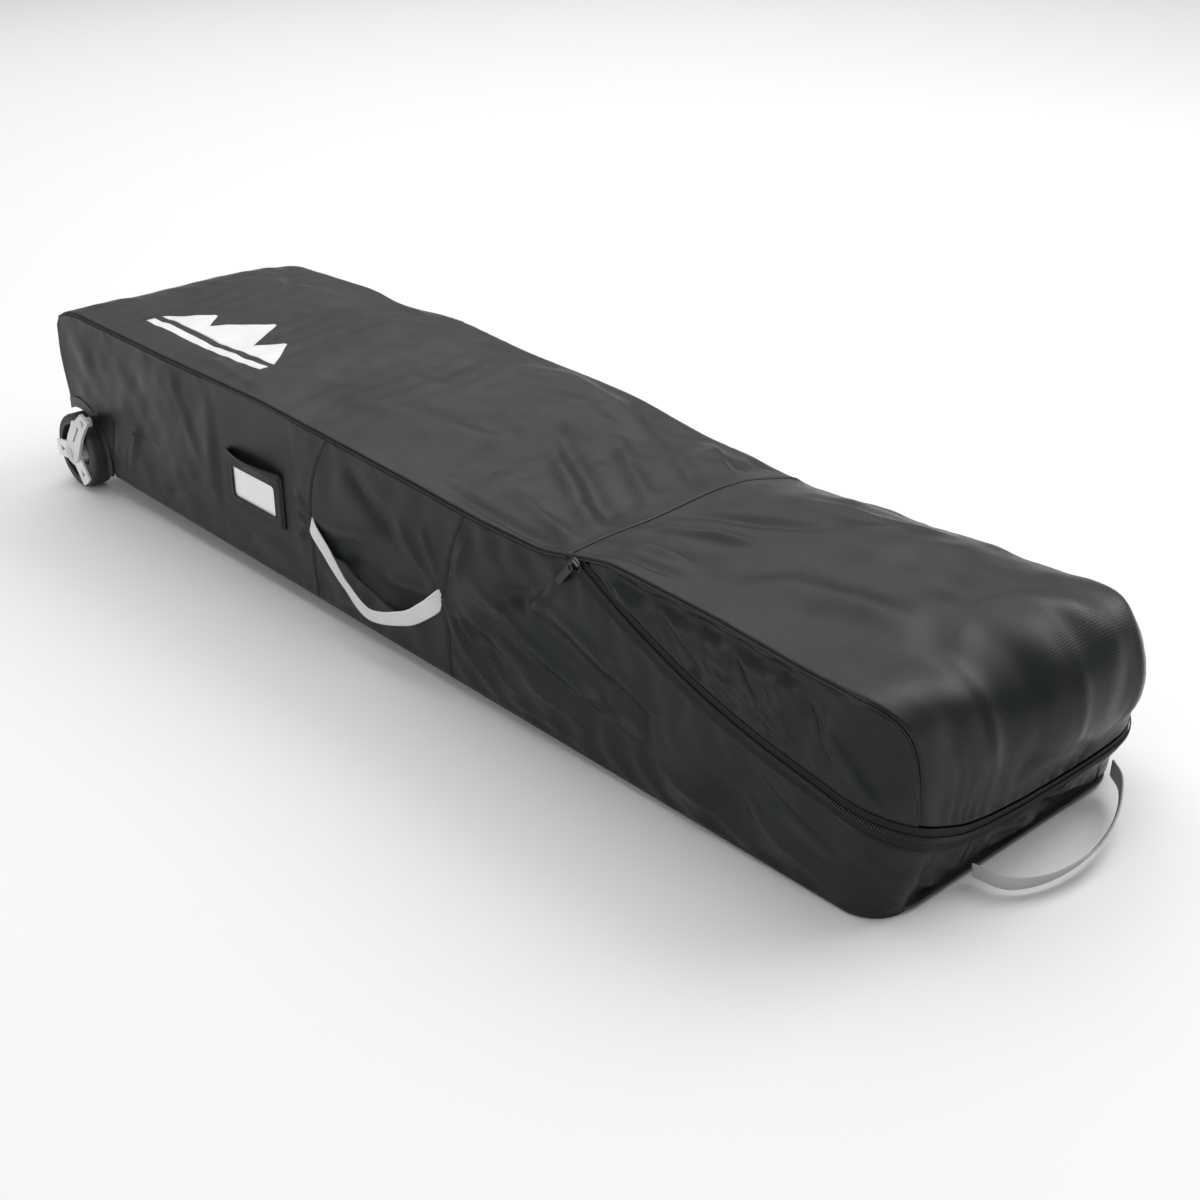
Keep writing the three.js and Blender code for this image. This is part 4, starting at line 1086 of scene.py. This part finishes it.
def base_grid(a, b, z, inset):
    """A layer of the base: a forward along the bag, b across it; narrow between the wheels."""
    s = mix(REAR_X + inset, S_NOSE - 0.002, a)
    p = mix(wall(s, z, -inset), wall(2 * S_MIDDLE - s, z, -inset), b[..., None])
    between = 1 - smoothstep(WHEEL_X + ARCH + inset - 0.004, WHEEL_X + ARCH + inset + 0.002, s)
    limit = mix(HALF + 0.01, ARCH_HALF - inset / 2, between)
    near, far = np.maximum(p[:, :1, 1], -limit[:, :1]), np.minimum(p[:, -1:, 1], limit[:, :1])
    p[..., 1] = mix(near, far, b)
    p[..., 2] = z
    return p


def base_rows():
    """Places over the base, closer together between the wheels and at the nose."""
    x = [np.linspace(REAR_X, -0.71, 40), np.linspace(-0.7, 0.78, 60), np.linspace(0.785, 0.88, 24)]
    x = np.concatenate(x)
    return np.meshgrid((x - REAR_X) / (0.88 - REAR_X), np.linspace(0, 1, 41), indexing="ij")


QUILT = 0.08


def build_base():
    a, b = base_rows()
    flat = np.stack([a * 1.7, b * 2 * HALF], -1)
    down = np.broadcast_to(np.array([0.0, 0.0, -1.0]), (*a.shape, 3))
    base = sheet_mesh("base", base_grid(a, b, 0.0, 0.0), 0.005, "shell", FABRIC, flat, LINING, down)
    dress(base, "bottom_panel")
    top = base_grid(a, b, 0.0168, 0.0075)
    both_ways = flat[..., 0] + flat[..., 1], flat[..., 0] - flat[..., 1]
    quilt = np.minimum(*(np.abs(way % QUILT - QUILT / 2) for way in both_ways))
    top[..., 2] += 0.0008 - 0.003 * np.exp(-((quilt / 0.006) ** 2))
    pad = sheet_mesh("base_pad", top, 0.0042, "shell", FOAM, flat, None, -down)
    dress(pad, "base_foam_pad")


def build_board_straps():
    for name, x in (("rear", -0.36), ("front", 0.26)):
        y = np.linspace(-0.209, 0.209, 120)
        slack = 0.0015 * np.sin(y * 60) ** 2 * smoothstep(0.04, 0.08, np.abs(y))
        path = np.stack([x + 0 * y, y, 0.0189 + slack], -1)
        strap = webbing("floor_strap_" + name, path, ALONG_X, 0.025, 0.002, "shell", BLACK_WEBBING, 7)
        dress(strap, "board_strap_" + name)


def build_piping():
    """The bound seam round the foot of the walls."""
    s = np.concatenate([np.arange(WHEEL_X + ARCH + 0.002, 0.78, 0.012), np.arange(0.78, S_MIDDLE, 0.004)])
    s = np.concatenate([s, 2 * S_MIDDLE - s[::-1]])
    path = wall(s, 0.0015, 0.0006)
    piping = tube("foot_piping", path, 0.0013, "shell", PIPING, unit(wall(s, 0.0015, 0.01) - path))


def seam_line(name, path, outward, body):
    """The thin dark line of a sewn seam."""
    tube(name, path, 0.0009, body, PIPING, outward, 6)


def build_seam_lines():
    """Lines on the near side's seams, round the lid's near edge and across the lid's joint."""
    s = np.arange(REAR_X + 0.003, LID_X - 0.001, 0.006)
    up = np.array([0.0, -0.7, 0.7])
    seam_line("top_seam", wall(s, SEAM_Z, -0.0002), np.broadcast_to(up, (len(s), 3)), "shell")
    edge = walk_polyline(LID_EDGE, np.linspace(0.004, 0.996, 160))
    path = wall(edge[:, 0], edge[:, 1], -0.0002)
    seam_line("lid_seam", path, np.broadcast_to(up, path.shape), "lid")
    v = np.linspace(0.02, 0.98, 80)
    line = top_rear(np.ones((1, 80)), v[None])[0]
    line[:, 2] += 0.0003
    seam_line("lid_joint_seam", line, np.broadcast_to(UPWARD, line.shape), "shell")
    z = np.arange(0.004, 0.249, 0.004)
    for name, seam, top in (("rear_seam", rear_seam, 0.249), ("front_seam", front_seam, 0.249),
                            ("nose_seam", NOSE_NEAR, 0.056)):
        heights = z[z < top]
        path = wall(seam(heights), heights, -0.0005)
        outward = unit(wall(seam(heights), heights, 0.01) - path)
        seam_line(name, path, outward, "shell")


def build_hinge_strip():
    """A strip of cloth behind the lid's seam."""
    width = 0.016
    u, v = np.meshgrid(np.linspace(-0.5, 0.5, 13), np.linspace(0.004, 0.996, 61), indexing="ij")
    line = top_rear(np.ones_like(v), v)
    line[..., 0] += u * width
    line[..., 2] -= 0.0062
    flat = np.stack([u * width, v * 2 * HALF], -1)
    up = np.broadcast_to(UPWARD, line.shape)
    strip = sheet_mesh("lid_hinge_strip", line, 0.0008, None, FABRIC, flat, None, up)
    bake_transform(strip)


build_base()
build_board_straps()
build_piping()
build_seam_lines()
build_hinge_strip()

# ---------------------------------------------------------------- the zip

TOOTH_PITCH, TOOTH_OFFSET = 0.0021, 0.0013
TAPE_WIDTH, TAPE_GAP = 0.0125, 0.0003
LID_ZIP_START = 0.393
ZIP_END = 2 * S_MIDDLE - ZIP_START


def zip_tape(name, node, body, start, low, high):
    s = np.arange(start, 2 * S_MIDDLE - start, 0.0025)
    bottom, top = zip_height(s) + low(s), zip_height(s) + high(s)
    limit = SEAM_Z - 0.0004
    v = np.linspace(0, 1, 7)
    z = mix(np.minimum(bottom, limit - 0.0006)[:, None], np.minimum(top, limit)[:, None], v[None])
    s = np.broadcast_to(s[:, None], z.shape)
    points = wall(s, z, 0.0004)
    tape = sheet_mesh(name, points, 0.001, body, ZIP_TAPE, np.stack([s, z], -1))
    return dress(tape, node)


def zip_teeth(name, node, body, start, shift, offset):
    """The coil's turns on one side: short rods across the zip, leaning a little."""
    s = np.arange(start + shift, 2 * S_MIDDLE - start, TOOTH_PITCH)
    z = zip_height(s) + offset
    centre = wall(s, z, 0.0018)
    outward = unit(wall(s, z, 0.004) - centre)
    forward = unit(wall(s + 0.004, zip_height(s + 0.004) + offset, 0.0018) - centre)
    across = np.cross(outward, forward)
    lean = unit(across + 0.35 * math.copysign(1, offset) * forward)
    teeth = capsules(name, centre, lean, outward, 0.0044, 0.0009, 0.0004, body, COIL)
    return dress(teeth, node)


def shell_tape_top(s):
    """The lower tape's upper edge, which closes over the line beyond both ends of the zip."""
    from_end = np.minimum(s, 2 * S_MIDDLE - s)
    return mix(0.004, -TAPE_GAP, smoothstep(0.386, 0.395, from_end))


def build_zip():
    zip_tape("lid_zip_tape", "zip_tape_upper", "lid", LID_ZIP_START, constant(TAPE_GAP), constant(TAPE_WIDTH))
    zip_tape("shell_zip_tape", "zip_tape_lower", "shell", 0.368, constant(-TAPE_WIDTH), shell_tape_top)
    zip_teeth("lid_coil", "zip_teeth_upper", "lid", LID_ZIP_START, 0.0, TOOTH_OFFSET)
    zip_teeth("shell_coil", "zip_teeth_lower", "shell", 0.389, TOOTH_PITCH / 2, -TOOTH_OFFSET)
    for name, s in (("near", ZIP_START - 0.0025), ("far", ZIP_END + 0.0025)):
        z = min(zip_height(s), SEAM_Z - 0.0035) + np.linspace(-0.003, 0.003, 7)
        path = wall(np.full(7, s), z, 0.0006)
        outward = unit(wall(np.full(7, s), z, 0.004) - path)
        across = np.cross(outward, UPWARD)
        stop = webbing("zip_end_stop_" + name, path, across, 0.004, 0.003, "shell", ZIP_METAL, 3)
        dress(stop, "zip_stop_" + name)


build_zip()

# ---------------------------------------------------------------- handles

SIDE_HANDLE = {"y": -0.221, "z": 0.126, "lean": math.radians(15), "width": 0.0245}
NOSE_HANDLE = {"z": 0.022, "tilt": math.radians(3.4), "width": 0.0215}
BAND_THICKNESS = 0.0024
SIDE_LOOP = np.array(
    [(-0.142, -0.012), (-0.103, -0.031), (-0.046, -0.062), (0.014, -0.082), (0.083, -0.063), (0.122, -0.037),
     (0.143, -0.014)]
)
NOSE_LOOP = np.array(
    [(0.847, -0.084), (0.885, -0.077), (0.909, -0.042), (0.917, 0.008), (0.911, 0.058), (0.895, 0.106),
     (0.871, 0.148), (0.847, 0.168)]
)


def turned_band(path, widths, width):
    """Which way a twisted band's width points, from how wide it looks to the camera along its length."""
    t = np.linspace(0, 1, len(path))
    seen = np.interp(t, *zip(*widths)) / width
    tangent = tangents(path)
    view = unit(path - np.array(CAMERA_PLACE))
    across = unit(np.cross(tangent, view))
    across *= np.sign(across[:, 2:])
    towards = unit(tangent * (tangent * view).sum(-1, keepdims=True) - view)
    turn = np.arccos(np.clip(seen, 0, 1))[:, None]
    return np.cos(turn) * across + np.sin(turn) * towards


def build_side_handle():
    t = np.linspace(0, 1, 120)
    flat = walk_polyline(SIDE_LOOP, t)
    lean = SIDE_HANDLE["lean"]
    y = SIDE_HANDLE["y"] - 0.001 + flat[:, 1] * math.sin(lean)
    path = np.stack([flat[:, 0], y, SIDE_HANDLE["z"] + flat[:, 1] * math.cos(lean)], -1)
    path[:, 1] += 0.004 * np.exp(-t / 0.03) + 0.010 * np.exp(-(1 - t) / 0.035)
    seen = [(0, 0.011), (0.19, 0.0095), (0.35, 0.006), (0.47, 0.009), (0.59, 0.0135), (0.74, 0.018),
            (0.88, 0.022), (1, 0.0225)]
    across = turned_band(path, seen, SIDE_HANDLE["width"])
    upright = np.exp(-t / 0.05)[:, None] + np.exp(-(1 - t) / 0.04)[:, None]
    across = unit(across + 1.6 * upright * UPWARD)
    width = SIDE_HANDLE["width"]
    strap = webbing("side_handle", path, across, width, BAND_THICKNESS, "side_handle", WEBBING)
    dress(strap, "side_handle_strap")
    edge = path + across * 0.0092
    stitches("side_handle_stitches", [edge[4:-4]], [strap], "side_handle", PALE_THREAD)


def build_nose_handle():
    t = np.linspace(0, 1, 120)
    flat = walk_polyline(NOSE_LOOP, t)
    height = NOSE_HANDLE["z"] + math.tan(NOSE_HANDLE["tilt"]) * flat[:, 1]
    path = np.stack([flat[:, 0], flat[:, 1], height], -1)
    outward = np.cross(tangents(path), UPWARD)
    lean = np.radians(np.interp(t, [0, 0.3, 0.5, 0.8, 1], [16, 30, 30, 4, 0]))[:, None]
    across = np.cos(lean) * UPWARD + np.sin(lean) * outward
    width = NOSE_HANDLE["width"]
    # The band takes the darker copy of the grey webbing: painted shade, not a webbing of another colour.
    strap = webbing("nose_handle", path, across, width, BAND_THICKNESS, "nose_handle", SHADED_NOSE_WEBBING)
    dress(strap, "nose_handle_strap")


build_side_handle()
build_nose_handle()

# ---------------------------------------------------------------- the identity-card pocket

POCKET = {"x": -0.283, "z": 0.1195, "width": 0.143, "height": 0.083}
WINDOW = {"z": 0.1155, "width": 0.106, "height": 0.045}


def rounded_loop(x, z, width, height, radius, straight=22, corner=6):
    """Points round a rounded rectangle, from its top right corner, and the same number for any size."""
    points = []
    for k, (sx, sz) in enumerate([(1, 1), (-1, 1), (-1, -1), (1, -1)]):
        angle = np.radians(90 * k + np.linspace(0, 90, corner))
        cx, cz = x + sx * (width / 2 - radius), z + sz * (height / 2 - radius)
        points.append(np.stack([cx + radius * np.cos(angle), cz + radius * np.sin(angle)], -1))
    full = []
    for k in range(4):
        full.append(points[k])
        step = np.linspace(0, 1, straight + 2)[1:-1, None]
        full.append(mix(points[k][-1], points[(k + 1) % 4][0], step))
    return np.concatenate(full)


def pocket_point(x, z, proud):
    """A place on the pocket's face, whose top edge gapes and sags."""
    left = POCKET["x"] - POCKET["width"] / 2
    along = np.clip((x - left) / POCKET["width"], 0, 1)
    open_top = smoothstep(0.132, 0.161, z) * np.sin(math.pi * along)
    return wall(x, z - 0.001 * open_top, proud + 0.011 * open_top)


def build_pocket():
    outer = rounded_loop(POCKET["x"], POCKET["z"], POCKET["width"], POCKET["height"], 0.004)
    inner = rounded_loop(POCKET["x"], WINDOW["z"], WINDOW["width"], WINDOW["height"], 0.005)
    r = np.array([0, 0.04, 0.12, 0.25, 0.4, 0.6, 0.8, 0.92, 1.0])
    place = mix(outer[:, None], inner[:, None], r[None, :, None])
    x, z = place[..., 0], place[..., 1]
    height = POCKET["height"] / 2
    on_top = smoothstep(POCKET["z"] + height - 0.006, POCKET["z"] + height - 0.001, outer[:, 1])[:, None]
    sewn = mix(0.0012, 0.0044, np.maximum(smoothstep(0, 0.3, r)[None], on_top))
    roll = 0.0006 * np.exp(-(((r - 0.2) / 0.12) ** 2)) + 0.0006 * np.exp(-(((r - 0.88) / 0.08) ** 2))
    face = pocket_point(x, z, sewn + roll[None])
    outward = grid_normals(face)
    frame_piece = sheet_mesh("pocket_face", face, 0.0014, "shell", FABRIC, place, None, outward, True)
    dress(frame_piece, "id_pocket_frame")
    rows = []
    for at in (0.13, 0.3):
        path = mix(outer, inner, at)
        keep = path[:, 1] < POCKET["z"] + height - 0.008
        first = int(np.argmax(keep & ~np.roll(keep, 1)))
        path = np.roll(path, -first, 0)[: int(keep.sum())]
        rows.append(pocket_point(path[:, 0], path[:, 1], 0.004))
    path = mix(outer, inner, 0.86)
    rows.append(pocket_point(*np.vstack([path, path[:1]]).T, 0.0045))
    stitches("pocket_stitches", rows, [frame_piece], "shell")


build_pocket()

# ---------------------------------------------------------------- sewing


def beside(line, offset, low, high, step=0.004):
    """A row of stitches up the wall, beside a seam."""
    z = np.arange(low, high, step)
    return wall(line(z) + offset, z, 0.0005)


def sew():
    """Rows of stitches beside the zip, the vertical seams and the near side's top seam."""
    shell = [SHELL[name] for name in ("rear_side_near", "middle_side_near", "front_side_near", "nose_lower",
                                      "front_side_far")]
    s = np.arange(0.385, 2 * S_MIDDLE - 0.385, 0.004)
    rows = [wall(s, np.minimum(zip_height(s) - ZIP_EDGE - 0.0026, SEAM_Z - 0.002), 0.0005)]
    rows += [beside(rear_seam, -0.003, 0.01, 0.245), beside(front_seam, 0.003, 0.01, 0.245)]
    rows += [beside(NOSE_NEAR, 0.003, 0.01, 0.05)]
    s = np.arange(REAR_X + 0.02, 0.37, 0.004)
    rows.append(wall(s, SEAM_Z - 0.003, 0.0005))
    stitches("shell_stitches", rows, shell, "shell")
    lid = [SHELL[name] for name in ("lid_side_near", "lid_top", "lid_side_far")]
    s = np.arange(0.412, 2 * S_MIDDLE - 0.412, 0.004)
    top = np.where((s > 0.85) & (s < 2 * S_MIDDLE - 0.85), 1.0, gusset_top(s) - 0.001)
    rows = [wall(s, np.minimum(zip_height(s) + ZIP_EDGE + 0.0026, top), 0.0005)]
    stitches("lid_stitches", rows, lid, "lid")


sew()

# ---------------------------------------------------------------- the print on the rear top


PRINT_BOX = (-0.665, -0.345, -0.158, -0.03)


def build_print():
    """A plain generic mark: three peaks over a bar."""
    tree = surface_of(SHELL["rear_top"])
    x0, x1, y0, y1 = PRINT_BOX
    shapes = []
    for centre, half, height in ((0.2, 0.19, 0.66), (0.5, 0.25, 1.0), (0.8, 0.19, 0.66)):
        foot = [(centre - half, 0.2), (centre + half, 0.2)]
        shapes.append((foot, [(centre - 0.012, height), (centre + 0.012, height)]))
    shapes.append(([(0.0, 0.0), (1.0, 0.0)], [(0.0, 0.11), (1.0, 0.11)]))
    for k, (low, high) in enumerate(shapes):
        u, v = np.meshgrid(np.linspace(0, 1, 40), np.linspace(0, 1, 24), indexing="ij")
        foot, peak = (mix(np.array(line[0]), np.array(line[1]), u[..., None]) for line in (low, high))
        place = mix(foot, peak, v[..., None])
        points = np.stack([mix(x0, x1, place[..., 0]), mix(y0, y1, place[..., 1]), 0 * u + 0.3], -1)
        surface, normal = snap(tree, drop(tree, points), 0.0002)
        mark = sheet_mesh(f"print_{k + 1}", surface, 0.0005, "shell", PRINT, place, None, normal)


build_print()

# ---------------------------------------------------------------- studio


def studio():
    floor = bpy.data.meshes.new("floor")
    side = 12.0
    corners = [(-side, -side, 0), (side, -side, 0), (side, side, 0), (-side, side, 0)]
    floor.from_pydata(corners, [], [(0, 1, 2, 3)])
    obj = bpy.data.objects.new("floor", floor)
    bpy.context.scene.collection.objects.link(obj)

    def paint(tree, shader):
        shader.inputs["Base Color"].default_value = (0.86, 0.86, 0.86, 1)
        shader.inputs["Roughness"].default_value = 0.7

    floor.materials.append(node_material("floor_paint", paint))
    world = bpy.data.worlds.new("studio")
    world.use_nodes = True
    world.node_tree.nodes["Background"].inputs["Color"].default_value = (1, 1, 1, 1)
    world.node_tree.nodes["Background"].inputs["Strength"].default_value = 0.34
    bpy.context.scene.world = world
    bpy.context.scene.view_settings.view_transform = "Standard"


def area_light(name, place, target, size, power):
    data = bpy.data.lights.new(name, "AREA")
    data.shape = "RECTANGLE"
    data.size, data.size_y = size
    data.energy = power
    obj = bpy.data.objects.new(name, data)
    obj.location = place
    obj.rotation_euler = (Vector(target) - Vector(place)).to_track_quat("-Z", "Y").to_euler()
    bpy.context.scene.collection.objects.link(obj)


def camera():
    back = np.array([
        math.sin(AZIMUTH) * math.cos(ELEVATION),
        -math.cos(AZIMUTH) * math.cos(ELEVATION),
        math.sin(ELEVATION),
    ])
    right = np.array([math.cos(AZIMUTH), math.sin(AZIMUTH), 0])
    up = np.cross(back, right)
    turn = np.array([v @ AXES for v in (right, up, back)]).T
    data = bpy.data.cameras.new("camera")
    data.lens = LENS
    data.sensor_width = 36
    data.clip_start, data.clip_end = 0.05, 60
    obj = bpy.data.objects.new("camera", data)
    obj.matrix_world = Matrix.LocRotScale(Vector(to_row(CAMERA_PLACE)), Matrix(turn.tolist()), None)
    bpy.context.scene.collection.objects.link(obj)
    bpy.context.scene.camera = obj


studio()
area_light("overhead", (-2.8, 2.8, 4.6), (-2.8, 2.8, 0.0), (9.0, 9.0), 360)
area_light("nose_key", (1.3, 2.6, 2.6), (0.75, 0, 0.2), (2.4, 2.4), 60)
area_light("side_fill", (0.6, -4.2, 1.7), (0.0, -0.2, 0.1), (3.0, 3.0), 55)
camera()
